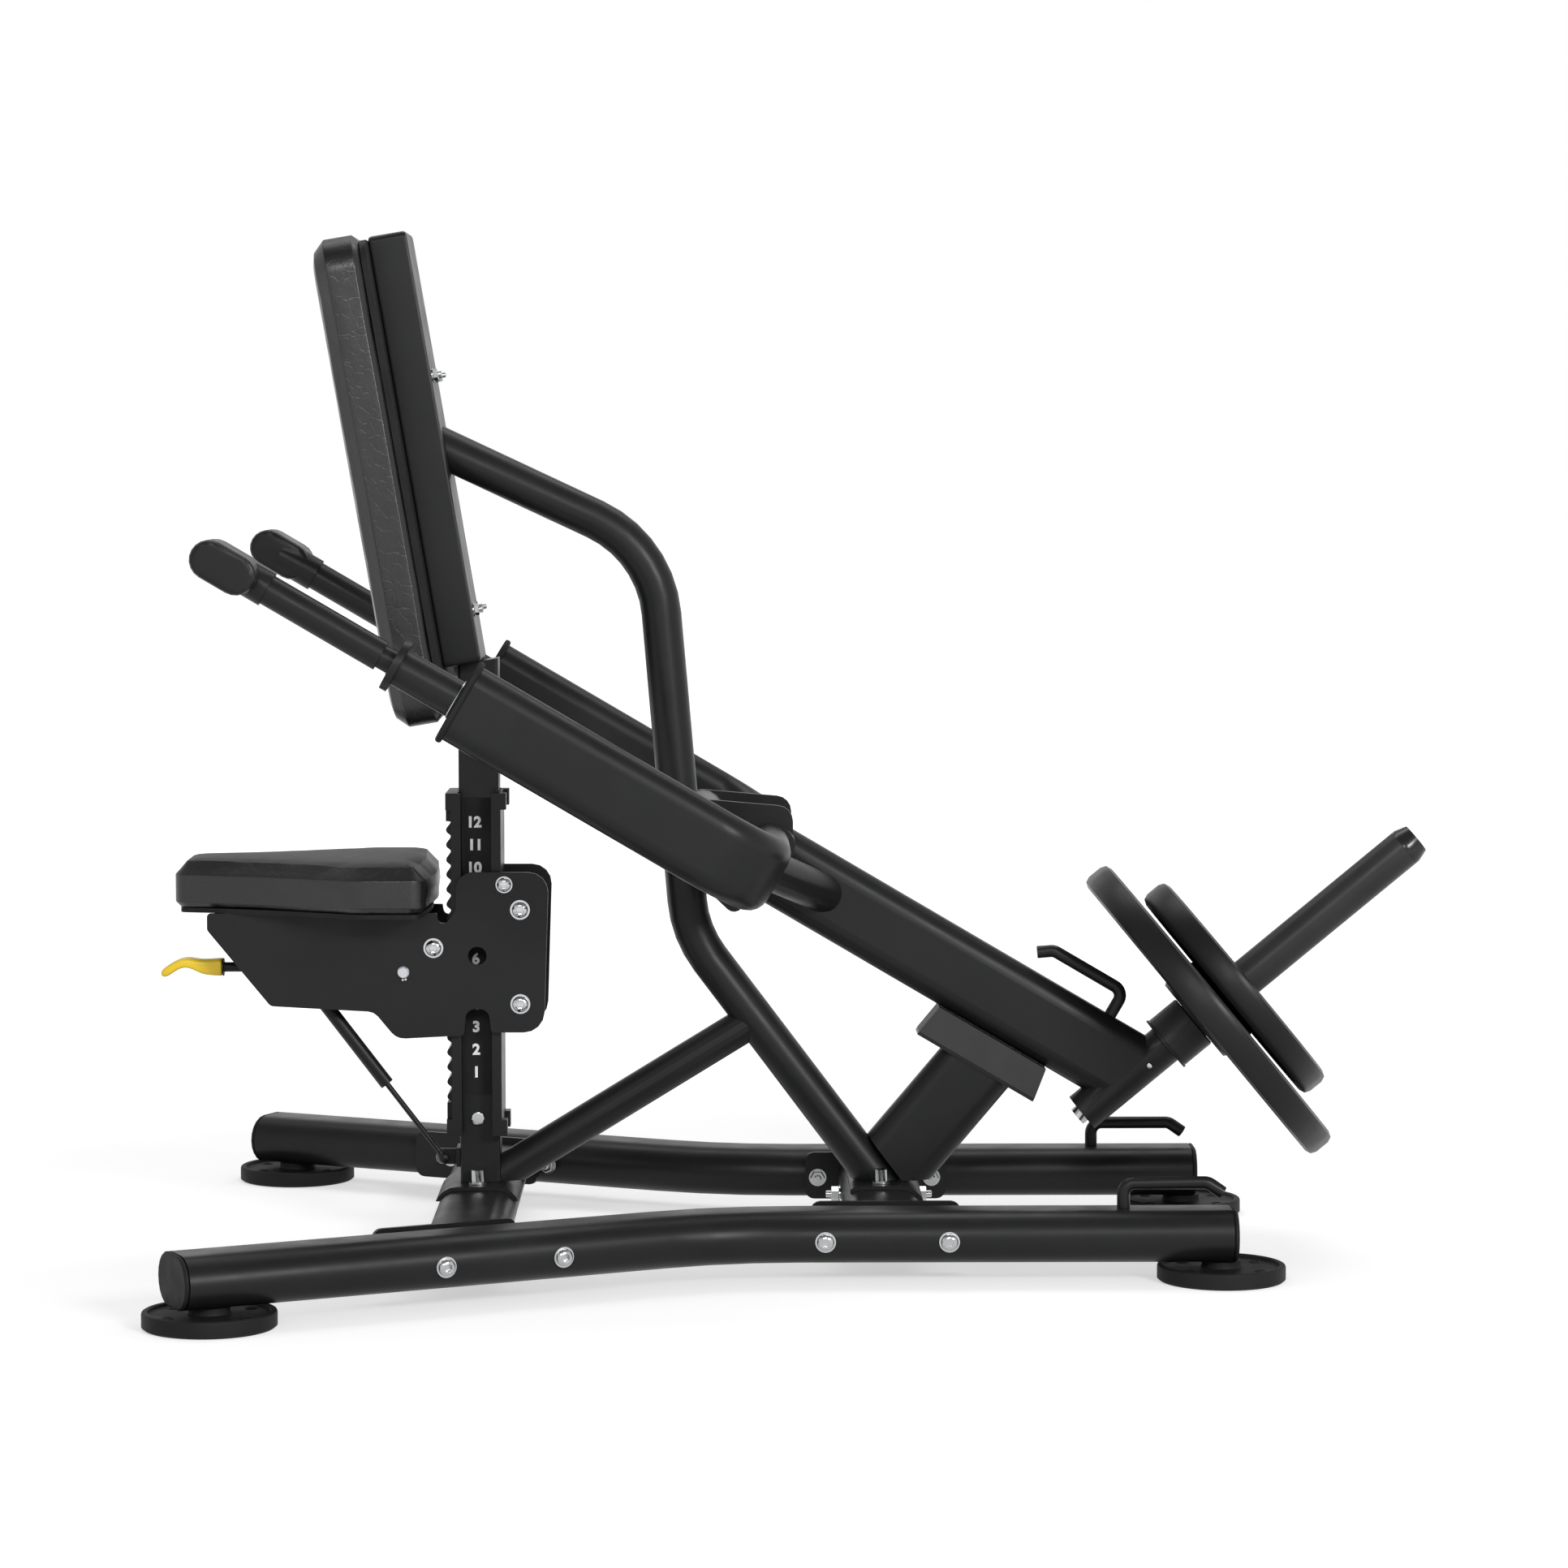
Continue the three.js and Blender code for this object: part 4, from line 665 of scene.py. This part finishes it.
def cushion(name, outline, thickness, bevels, crown, shrink, matrix, body, node):
    """A cushion whose panels meet in creased bevels and whose faces are swelled by the foam."""
    board_bevel, face_bevel = bevels
    band = thickness - crown
    edge_height = band - shrink * 0.4
    edge_inset = face_bevel + shrink * 0.6
    profile = [
        (BOARD_GAP, board_bevel + shrink),
        (board_bevel, shrink),
        (band - face_bevel, shrink),
        (edge_height, edge_inset),
        (edge_height + crown * 0.3, edge_inset + CROWN_INSET),
    ]
    rows = layered_points(profile, PANEL_ROUNDING, PANEL_STEP)
    around = resampled(outline, OUTLINE_SIDE)
    mesh = bmesh.new()
    rings = []
    outlines = []
    for height, inset in rows:
        places = inset_outline(around, inset)
        outlines.append(places)
        ring = [mesh.verts.new((place.x * MM, place.y * MM, height * MM)) for place in places]
        rings.append(ring)
    count = len(around)
    for lower, upper in zip(rings, rings[1:]):
        for side in range(count):
            after = (side + 1) % count
            mesh.faces.new((lower[side], lower[after], upper[after], upper[side]))
    face_of(mesh, rings[0], outlines[0], rows[0][0], 0.0, 1.0, FLAT_SPACING, False)
    top = rows[-1][0]
    face_of(mesh, rings[-1], outlines[-1], top, crown * 0.8, CROWN_WIDTH, CROWNED_SPACING, True)
    bmesh.ops.recalc_face_normals(mesh, faces=mesh.faces)
    data = bpy.data.meshes.new(name)
    mesh.to_mesh(data)
    mesh.free()
    tree, moves = swelling(data)
    floor = min(vertex.co.z for vertex in data.vertices)
    swell(data, tree, moves)
    for vertex in data.vertices:
        vertex.co.z = max(vertex.co.z, floor)
    data.transform(matrix)
    obj = bpy.data.objects.new(name, data)
    bpy.context.scene.collection.objects.link(obj)
    data.materials.append(VINYL)
    for polygon in data.polygons:
        polygon.use_smooth = True
    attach(obj, body)
    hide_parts(node)


OUTLINE_STEP = math.radians(6)
SEAT_FRONT = -705.3
SEAT_LENGTH = 339.5
SEAT_HALF_WIDTH = 151.0
SEAT_BOTTOM = 441.0
SEAT_TOP = 501.5
SEAT_CORNERS = [
    (0, 0.364, 22),
    (0.284, 0.51, SEAT_LENGTH),
    (0.707, 1, 60),
    (0.972, 1, 22),
    (1, 0, SEAT_LENGTH),
    (0.972, -1, 22),
    (0.707, -1, 60),
    (0.284, -0.51, SEAT_LENGTH),
    (0, -0.364, 22),
]


def seat_outline():
    """The seat from above: narrow at the front between the thighs, wide at the back."""
    rows = [
        (SEAT_FRONT + x * SEAT_LENGTH, y * SEAT_HALF_WIDTH, radius) for x, y, radius in SEAT_CORNERS
    ]
    return rounded_outline(rows[::-1], OUTLINE_STEP)


def box_outline(length, width, radius):
    rows = [
        (length / 2, -width / 2, radius),
        (length / 2, width / 2, radius),
        (-length / 2, width / 2, radius),
        (-length / 2, -width / 2, radius),
    ]
    return rounded_outline(rows, OUTLINE_STEP)


cushion(
    "seat_cushion",
    seat_outline(),
    SEAT_TOP - SEAT_BOTTOM,
    (7, 16),
    3,
    1.0,
    ROW @ Matrix.Translation((0, 0, SEAT_BOTTOM * MM)),
    "seat",
    "seat_pad",
)

BACK_PAD_REAR = -180 - 48.3 - 7.7 - 0.6
BACK_PAD_LENGTH = 625.5
BACK_PAD_WIDTH = 284
BACK_PAD_CORNER = 46
BACK_PAD_THICKNESS = 60.7
BACK_PAD_MIDDLE = (724.5 + 1350) / 2
UP_THE_BACK = Matrix(((0, 0, -1, 0), (0, 1, 0, 0), (1, 0, 0, 0), (0, 0, 0, 1)))
cushion(
    "back_cushion",
    box_outline(BACK_PAD_LENGTH, BACK_PAD_WIDTH, BACK_PAD_CORNER),
    BACK_PAD_THICKNESS,
    (7.5, 15),
    3,
    2.5,
    BACK @ Matrix.Translation((BACK_PAD_REAR * MM, 0, BACK_PAD_MIDDLE * MM)) @ UP_THE_BACK,
    "base",
    "back_pad",
)


# Rails and feet

RAIL_SPLAY = math.radians(25.6)
RAIL_BEND_X = -5.8
RAIL_MIDDLE_Y = 250
RAIL_OUTER_FACE = 50
FLANGE_INNER_FACE = 56
RAIL_BOLT_Z = 56
SPLAYED_BOLTS = (388, 237)
STRAIGHT_BOLTS = (117, 268)
RAIL_BOLT = {"radius": 10.6, "height": 6.5, "body": "base", "washer": 2}
RAIL_NUT = {"flats": 17, "height": 7, "body": "base"}
SADDLE_MIDDLE_X = 193.5
SADDLE_HALF_LENGTH = 50
SADDLE_NUT_Y = 57
SADDLE_NUT_Z = 56.5
SADDLE_NUT = {"flats": 17, "height": 10, "body": "base", "washer": 2.5, "stud": 6}


def rail_place(side, distance, out):
    """A place beside the splayed part of a rail: distance from its bend, out from its middle."""
    x = RAIL_BEND_X - distance * math.cos(RAIL_SPLAY) + out * math.sin(RAIL_SPLAY)
    y = RAIL_MIDDLE_Y + distance * math.sin(RAIL_SPLAY) + out * math.cos(RAIL_SPLAY)
    return point(x, side * y, RAIL_BOLT_Z)


for word, side in SIDES.items():
    outward = Vector((math.sin(RAIL_SPLAY), side * math.cos(RAIL_SPLAY), 0))
    for index, distance in enumerate(SPLAYED_BOLTS):
        outer = rail_place(side, distance, RAIL_OUTER_FACE)
        screw(f"rail_bolt_{word}_front_{index}", outer, outward, **RAIL_BOLT)
        inner = rail_place(side, distance, -FLANGE_INNER_FACE)
        nut(f"rail_nut_{word}_front_{index}", inner, -outward, **RAIL_NUT)
    outward = Vector((0, side, 0))
    for index, x in enumerate(STRAIGHT_BOLTS):
        outer = point(x, side * (RAIL_MIDDLE_Y + RAIL_OUTER_FACE), RAIL_BOLT_Z)
        screw(f"rail_bolt_{word}_rear_{index}", outer, outward, **RAIL_BOLT)
        inner = point(x, side * (RAIL_MIDDLE_Y - FLANGE_INNER_FACE), RAIL_BOLT_Z)
        nut(f"rail_nut_{word}_rear_{index}", inner, -outward, **RAIL_NUT)
    for index, end in enumerate((-1, 1)):
        start = point(SADDLE_MIDDLE_X + end * SADDLE_HALF_LENGTH, side * SADDLE_NUT_Y, SADDLE_NUT_Z)
        nut(f"saddle_nut_{word}_{index}", start, Vector((end, 0, 0)), **SADDLE_NUT)

FOOT_RECESS_Z = 16
FOOT_TOP_Z = 20
FOOT_HUB_TOP_Z = 25.2
FOOT_STEM_TOP_Z = 47.5
FOOT_ROWS = [
    (0, 0),
    (76, 0),
    (79, 2.5),
    (79, 17),
    (78.2, 19),
    (76.4, FOOT_TOP_Z),
    (73, FOOT_TOP_Z),
    (71.4, 19.2),
    (70.4, 16.6),
    (68, FOOT_RECESS_Z),
    (27, FOOT_RECESS_Z),
    (25, 17),
    (24, 20),
    (24, FOOT_HUB_TOP_Z),
    (8, FOOT_HUB_TOP_Z),
    (8, FOOT_STEM_TOP_Z),
    (0, FOOT_STEM_TOP_Z),
]
FEET = {
    "foot_left_front": (-605.05, -537.12),
    "foot_right_front": (-605.05, 537.12),
    "foot_left_rear": (605, -250),
    "foot_right_rear": (605, 250),
}
EYELET_ROWS = [(0, 0.05), (5.2, 0.05), (5.2, 0.9), (7.2, 0.9), (8, 0), (0, 0)]
EYELET_REACH = 55 * MM
EYELET_TURNS = (35, 145, 215, 325)
for name, (x, y) in FEET.items():
    matrix = Matrix.Translation(point(x, y, 0))
    foot = turned(FOOT_ROWS, 96)
    piece(name + "_disc", foot, PLASTIC, "base", matrix, (name,))
    for index, angle in enumerate(EYELET_TURNS):
        turn = math.radians(angle)
        across, along = EYELET_REACH * math.cos(turn), EYELET_REACH * math.sin(turn)
        spot = matrix @ Matrix.Translation((across, along, FOOT_RECESS_Z * MM))
        eyelet = turned(EYELET_ROWS, 32)
        piece(f"{name}_eyelet_{index}", eyelet, PLASTIC, "base", spot)


# Numerals

NUMERAL_X = -322.0
NUMERAL_Y = -27.12
NUMERAL_FIRST_Z = 228.2
NUMERAL_PITCH = 29.04
NUMERAL_HEIGHT = 13.2
NUMERAL_DEPTH = 0.1
NUMERAL_WEIGHT = 0.8
DIGIT_SHARE = 0.7
UPRIGHT = Matrix(((1, 0, 0, 0), (0, 0, -1, 0), (0, 1, 0, 0), (0, 0, 0, 1)))


def numeral(text, x, z, height):
    """A number standing on the near face of the post."""
    curve = bpy.data.curves.new("numeral", "FONT")
    curve.body = text
    curve.size = height / DIGIT_SHARE
    curve.align_x = "CENTER"
    curve.align_y = "CENTER"
    curve.extrude = NUMERAL_DEPTH
    curve.offset = NUMERAL_WEIGHT
    curve.resolution_u = 6
    holder = bpy.data.objects.new("numeral", curve)
    bpy.context.scene.collection.objects.link(holder)
    depsgraph = bpy.context.evaluated_depsgraph_get()
    data = bpy.data.meshes.new_from_object(holder.evaluated_get(depsgraph))
    across = [vertex.co.x for vertex in data.vertices]
    up = [vertex.co.y for vertex in data.vertices]
    centre = (-(min(across) + max(across)) / 2, -(min(up) + max(up)) / 2, 0)
    mesh = bmesh.new()
    mesh.from_mesh(data)
    mesh.transform(Matrix.Diagonal((MM, MM, MM, 1)) @ Matrix.Translation(centre))
    mesh.transform(Matrix.Translation(point(x, NUMERAL_Y, z)) @ UPRIGHT)
    bpy.data.objects.remove(holder)
    bpy.data.meshes.remove(data)
    return mesh


for number in range(1, 13):
    height = NUMERAL_FIRST_Z + NUMERAL_PITCH * (number - 1)
    mesh = numeral(str(number), NUMERAL_X, height, NUMERAL_HEIGHT)
    piece(f"numeral_{number}", mesh, WHITE, "base", fine=False)


# Rollers of the carriage

ROLLERS = {
    "upper": (24.2, -264.1, 439.0),
    "lower": (24.2, -264.1, 319.4),
    "front": (14.3, -373.6, 390.7),
}
ROLLER_WASHER_Y = 62.4
ROLLER_WASHER_ROWS = [(0, 0), (12.5, 0), (12.5, 1.0), (0, 1.3)]
ROLLER_HEAD_LIFT = 1.1
AXLE_RADIUS = 6
AXLE_HALF_LENGTH = 62
WHEEL_HALF_WIDTH = 22
HUB_HALF_WIDTH = 23

for word, side in SIDES.items():
    out = Vector((0, side, 0))
    for name, (radius, x, z) in ROLLERS.items():
        body = f"{name}_roller"
        matrix = towards(point(x, side * ROLLER_WASHER_Y, z), out)
        washer = turned(ROLLER_WASHER_ROWS, 40)
        piece(f"{body}_washer_{word}", washer, STEEL, body, matrix)
        lifted = matrix @ Matrix.Translation((0, 0, ROLLER_HEAD_LIFT * MM))
        head = socket_head(10.2, 5.6, 5.0)
        piece(f"{body}_head_{word}", head, CHROME, body, lifted)

for name, (radius, x, z) in ROLLERS.items():
    half = [
        (radius, 19.5),
        (radius - 0.6, 21.3),
        (radius - 2.2, WHEEL_HALF_WIDTH),
        (radius * 0.5, WHEEL_HALF_WIDTH),
        (radius * 0.45, HUB_HALF_WIDTH),
        (AXLE_RADIUS, HUB_HALF_WIDTH),
        (AXLE_RADIUS, AXLE_HALF_LENGTH),
        (0, AXLE_HALF_LENGTH),
    ]
    rows = [(reach, -height) for reach, height in reversed(half)] + half
    matrix = towards(point(x, 0, z), (0, 1, 0))
    wheel = turned(rows, 64)
    piece(f"{name}_wheel", wheel, PLASTIC, f"{name}_roller", matrix, (f"roller_{name}",))


# Screws of the carriage, the back frame and the horn

CARRIAGE_SCREW = (-284.1, 62.05, 470.9)
BACK_BOLT_X = -180
BACK_BOLT_Y = 42
BACK_BOLT_HEIGHTS = (1158.6, 859.6)
SET_SCREW = (558.3, -25.9, -7.5)

for word, side in SIDES.items():
    x, y, z = CARRIAGE_SCREW
    start = point(x, side * y, z)
    screw(f"carriage_screw_{word}", start, (0, side, 0), 9.0, 5.0, "seat", washer=1.6)

rearward = BACK.to_3x3() @ Vector((1, 0, 0))
for index, z in enumerate(BACK_BOLT_HEIGHTS):
    for word, side in SIDES.items():
        place = BACK @ (Vector((BACK_BOLT_X, side * BACK_BOLT_Y, z)) * MM)
        nut(f"back_bolt_{index}_{word}", place, rearward, 13, 6, "base", washer=2.2, stud=4)

screw("socket_screw", LEVER @ (Vector(SET_SCREW) * MM), (0, -1, 0), 3.6, 1.2, "lever")


# Latch lever

LATCH_X = -411.7
LATCH_Z = 359.9
LATCH_ROD_END = -662
LATCH_ROD_RADIUS = 6.25
LATCH_HUB_RADIUS = 11
LATCH_HUB_HALF_WIDTH = 28
LATCH_PIN_RADIUS = 5
LATCH_PIN_HALF_LENGTH = 67
LATCH_WASHER_Y = 62.3
LATCH_WASHER_ROWS = [(0, 0), (7.4, 0), (7.4, 1.2), (0, 1.4)]
LATCH_PIN_END_Y = 64
LATCH_PIN_END_ROWS = [(0, 0), (6.7, 0), (6.9, 0.4), (6.9, 2.6), (6.4, 3.2), (0, 3.2)]
COTTER_PLACES = ((-412.2, 350.6), (-408.6, 351.2))
COTTER_START_Y = 62.8
COTTER_END_Y = 66.6
COTTER_RADIUS = 1.7
COLLAR_START = -646.2
COLLAR_END = -644.4
COLLAR_RADIUS = 11.6
PAWL_CORNERS = [(0, -7, 2), (45.5, -7, 1), (52.5, -3.5, 0.5), (52.5, 0, 0.5), (45.5, 7, 1), (0, 7, 2)]
PAWL_LAYERS = [(-20, 0.8), (-19.2, 0), (19.2, 0), (20, 0.8)]


def rod_between(start, end, radius, chamfer=0.6):
    """A straight round rod with chamfered ends, from places in metres."""
    length = (Vector(end) - Vector(start)).length / MM
    rows = [
        (0, 0),
        (radius - chamfer, 0),
        (radius, chamfer),
        (radius, length - chamfer),
        (radius - chamfer, length),
        (0, length),
    ]
    mesh = turned(rows, 40)
    mesh.transform(towards(Vector(start), Vector(end) - Vector(start)))
    return mesh


def joined(*meshes):
    whole = bmesh.new()
    for mesh in meshes:
        data = bpy.data.meshes.new("joined")
        mesh.to_mesh(data)
        mesh.free()
        whole.from_mesh(data)
        bpy.data.meshes.remove(data)
    return whole


def on_pivot(y):
    """A place on the latch's own axis."""
    return point(LATCH_X, y, LATCH_Z)


latch_rod = rod_between(point(LATCH_ROD_END, 0, LATCH_Z), on_pivot(0), LATCH_ROD_RADIUS)
latch_hub = rod_between(on_pivot(-LATCH_HUB_HALF_WIDTH), on_pivot(LATCH_HUB_HALF_WIDTH), LATCH_HUB_RADIUS)
latch_pin = rod_between(
    on_pivot(-LATCH_PIN_HALF_LENGTH), on_pivot(LATCH_PIN_HALF_LENGTH), LATCH_PIN_RADIUS, 1.0
)
pawl = stacked(rounded_outline(PAWL_CORNERS), PAWL_LAYERS)
pawl.transform(Matrix.Translation(on_pivot(0)) @ UPRIGHT)
latch_bar = joined(latch_rod, latch_hub, latch_pin, pawl)
piece("latch_bar", latch_bar, DARK, "latch", replaced=("latch_lever",))

# Each row of the paddle is its place X and Z, then its height and its width.
PADDLE_ROWS = [
    (-646.0, 360.2, 22.0, 26.0),
    (-648.0, 360.2, 23.0, 27.0),
    (-662.0, 360.2, 21.0, 25.5),
    (-670.0, 360.6, 19.4, 25.5),
    (-677.0, 362.2, 17.2, 26.5),
    (-683.0, 364.4, 15.0, 28.0),
    (-689.0, 366.0, 13.4, 29.5),
    (-695.0, 366.0, 12.4, 30.0),
    (-701.0, 364.4, 12.8, 30.0),
    (-707.0, 361.2, 13.6, 30.0),
    (-713.0, 357.4, 14.6, 30.0),
    (-718.5, 354.2, 13.4, 28.5),
    (-722.5, 353.0, 9.6, 25.0),
    (-724.4, 352.6, 4.0, 19.0),
]
PADDLE_SIDES = 32
PADDLE_SQUARENESS = 0.55


def squared(value):
    """A sine or cosine pushed outwards, which turns an ellipse into a rounded box."""
    return math.copysign(abs(value) ** PADDLE_SQUARENESS, value)


def paddle():
    """The yellow handle: a sleeve that flattens into a hooked paddle."""
    mesh = bmesh.new()
    rings = []
    for x, z, height, width in PADDLE_ROWS:
        ring = []
        for step in range(PADDLE_SIDES):
            angle = 2 * math.pi * step / PADDLE_SIDES
            y = squared(math.cos(angle)) * width / 2
            rise = squared(math.sin(angle)) * height / 2
            ring.append(mesh.verts.new(point(x, y, z + rise)))
        rings.append(ring)
    for lower, upper in zip(rings, rings[1:]):
        for step in range(PADDLE_SIDES):
            after = (step + 1) % PADDLE_SIDES
            mesh.faces.new((lower[step], lower[after], upper[after], upper[step]))
    mesh.faces.new(rings[0])
    mesh.faces.new(list(reversed(rings[-1])))
    return mesh


handle = piece("latch_paddle", paddle(), YELLOW, "latch", fine=False)
for polygon in handle.data.polygons:
    polygon.use_smooth = True
rounding = handle.modifiers.new("round", "SUBSURF")
rounding.levels = 2
rounding.render_levels = 2
collar_start = point(COLLAR_START, 0, LATCH_Z)
collar = rod_between(collar_start, point(COLLAR_END, 0, LATCH_Z), COLLAR_RADIUS, 0.4)
piece("latch_collar", collar, DARK, "latch")
for word, side in SIDES.items():
    out = Vector((0, side, 0))
    washer = turned(LATCH_WASHER_ROWS, 32)
    place = towards(on_pivot(side * LATCH_WASHER_Y), out)
    piece(f"latch_washer_{word}", washer, CHROME, "latch", place)
    pin_end = turned(LATCH_PIN_END_ROWS, 40)
    place = towards(on_pivot(side * LATCH_PIN_END_Y), out)
    piece(f"latch_pin_end_{word}", pin_end, STEEL, "latch", place)
    for index, (x, z) in enumerate(COTTER_PLACES):
        start = point(x, side * COTTER_START_Y, z)
        loop = rod_between(start, point(x, side * COTTER_END_Y, z), COTTER_RADIUS, 0.5)
        piece(f"latch_cotter_{word}_{index}", loop, CHROME, "latch")


# Gas spring

SPRING_TILT = math.radians(37.3)
SPRING_BALL = point(-364, -20, 117.1)
SPRING_ALONG = Vector((-math.sin(SPRING_TILT), 0, math.cos(SPRING_TILT)))
SPRING_PIN_END = point(-364, -5.4, 117.1)
SPRING_PIN_RADIUS = 3.9
BALL_RADIUS = 7.6
BALL_ANGLES = [math.radians(angle) for angle in range(-75, 50, 15)]
ROD_RADIUS = 3.5
ROD_END = 235
SPRING_ROWS = [
    (0, -BALL_RADIUS),
    *((BALL_RADIUS * math.cos(angle), BALL_RADIUS * math.sin(angle)) for angle in BALL_ANGLES),
    (4.8, 7.2),
    (4.8, 9),
    (4.2, 9.6),
    (ROD_RADIUS, 9.8),
    (ROD_RADIUS, ROD_END),
    (0, ROD_END),
]
CLIP_PLACE = point(-366.4, -11.6, 116.2)
CLIP_ROWS = [(0, 0), (8.3, 0), (8.6, 0.3), (8.6, 0.9), (8.3, 1.2), (0, 1.2)]

spring_pin = rod_between(SPRING_BALL, SPRING_PIN_END, SPRING_PIN_RADIUS)
spring_end = turned(SPRING_ROWS, 40)
spring_end.transform(towards(SPRING_BALL, SPRING_ALONG))
ball_end = joined(spring_end, spring_pin)
piece("gas_spring_ball_end", ball_end, DARK, "spring_rod", None, ("gas_spring_rod",))
clip = turned(CLIP_ROWS, 48)
clip_place = towards(CLIP_PLACE, (0, 1, 0))
piece("gas_spring_clip", clip, CHROME, "base", clip_place)


# Handle arms

STUB_START = (-431.2, -28.3)
STUB_Y = 318
STUB_RING_ROWS = [(23.9, 0), (25.2, 0), (25.6, 0.9), (25.2, 1.8), (23.9, 1.8), (23.9, 0)]
for word, side in SIDES.items():
    start = LEVER @ (Vector((STUB_START[0], side * STUB_Y, STUB_START[1])) * MM)
    along = LEVER.to_3x3() @ Vector((-1, 0, 0))
    ring = turned(STUB_RING_ROWS, 64)
    piece(f"stub_ring_{word}", ring, STEEL, "lever", towards(start, along))


# Floor, light and camera


def stage_object(name, mesh, material):
    data = bpy.data.meshes.new(name)
    mesh.to_mesh(data)
    mesh.free()
    obj = bpy.data.objects.new(name, data)
    bpy.context.scene.collection.objects.link(obj)
    data.materials.append(material)


def seen_rays(nodes, low):
    """A strength of 1 for rays that show the picture, directly or mirrored, and low for the rest."""
    ray = nodes.add("ShaderNodeLightPath")
    total = ray.outputs["Is Camera Ray"]
    for name in ("Is Glossy Ray", "Is Transmission Ray"):
        step = nodes.add("ShaderNodeMath", operation="ADD")
        step.use_clamp = True
        nodes.link(total, step.inputs[0])
        nodes.link(ray.outputs[name], step.inputs[1])
        total = step.outputs["Value"]
    return nodes.ramp(total, 0.0, 1.0, low, 1.0)


FLOOR_HALF_SIZE = 60

floor_shader = Shader("pale_floor")
floor_shader.set(Base_Color=(0.55, 0.55, 0.55, 1), Roughness=0.9, Specular_IOR_Level=0.0)
floor_shader.set(Emission_Color=(1, 1, 1, 1))
away = floor_shader.add("ShaderNodeVectorMath", operation="LENGTH")
floor_shader.link(floor_shader.place, away.inputs[0])
paleness = floor_shader.ramp(away.outputs["Value"], 1.2, 3.5, 0.53, 0.95)
shown = floor_shader.product(paleness, seen_rays(floor_shader, 0.0))
floor_shader.link(shown, floor_shader.shader.inputs["Emission Strength"])
floor = bmesh.new()
for x, y in ((-1, -1), (1, -1), (1, 1), (-1, 1)):
    floor.verts.new((x * FLOOR_HALF_SIZE, y * FLOOR_HALF_SIZE, 0))
floor.faces.new(list(floor.verts))
stage_object("floor", floor, floor_shader.material)

# The studio is white all round and darker overhead.
world = bpy.data.worlds.new("studio")
bpy.context.scene.world = world
world.use_nodes = True
studio = Nodes(world.node_tree)
background = world.node_tree.nodes["Background"]
background.inputs["Color"].default_value = (1, 1, 1, 1)
upwards = studio.add("ShaderNodeSeparateXYZ")
studio.link(studio.add("ShaderNodeTexCoord").outputs["Generated"], upwards.inputs["Vector"])
dimming = studio.ramp(upwards.outputs["Z"], 0.35, 0.8, 1.0, 0.3)
studio.link(studio.product(seen_rays(studio, 0.8), dimming), background.inputs["Strength"])

LIGHT_TARGET = Vector((0, 0, 0.3))


def area_light(name, place, size, power):
    light = bpy.data.lights.new(name, "AREA")
    light.shape = "RECTANGLE"
    light.size, light.size_y = size
    light.energy = power
    obj = bpy.data.objects.new(name, light)
    bpy.context.scene.collection.objects.link(obj)
    obj.location = place
    obj.rotation_euler = (LIGHT_TARGET - Vector(place)).to_track_quat("-Z", "Y").to_euler()
    obj.visible_camera = False


area_light("overhead", (0.0, 1.5, 4.2), (4.5, 1.8), 80)
area_light("front_softbox", (-0.4, -6.0, 2.9), (1.8, 0.7), 80)
area_light("key_softbox", (3.1, -5.2, 2.6), (1.6, 1.0), 215)

CAMERA_PLACE = (MIDDLE_X * MM, -5.730, 1.0144)
CAMERA_DOWN = math.radians(4.2015)
CAMERA_TURN = math.radians(-0.7002)
lens = bpy.data.cameras.new("camera")
lens.sensor_width = 36
lens.lens = 103.49
camera = bpy.data.objects.new("camera", lens)
bpy.context.scene.collection.objects.link(camera)
camera.location = CAMERA_PLACE
camera.rotation_euler = (math.pi / 2 - CAMERA_DOWN, 0, CAMERA_TURN)
bpy.context.scene.camera = camera
bpy.context.scene.view_settings.view_transform = "Standard"
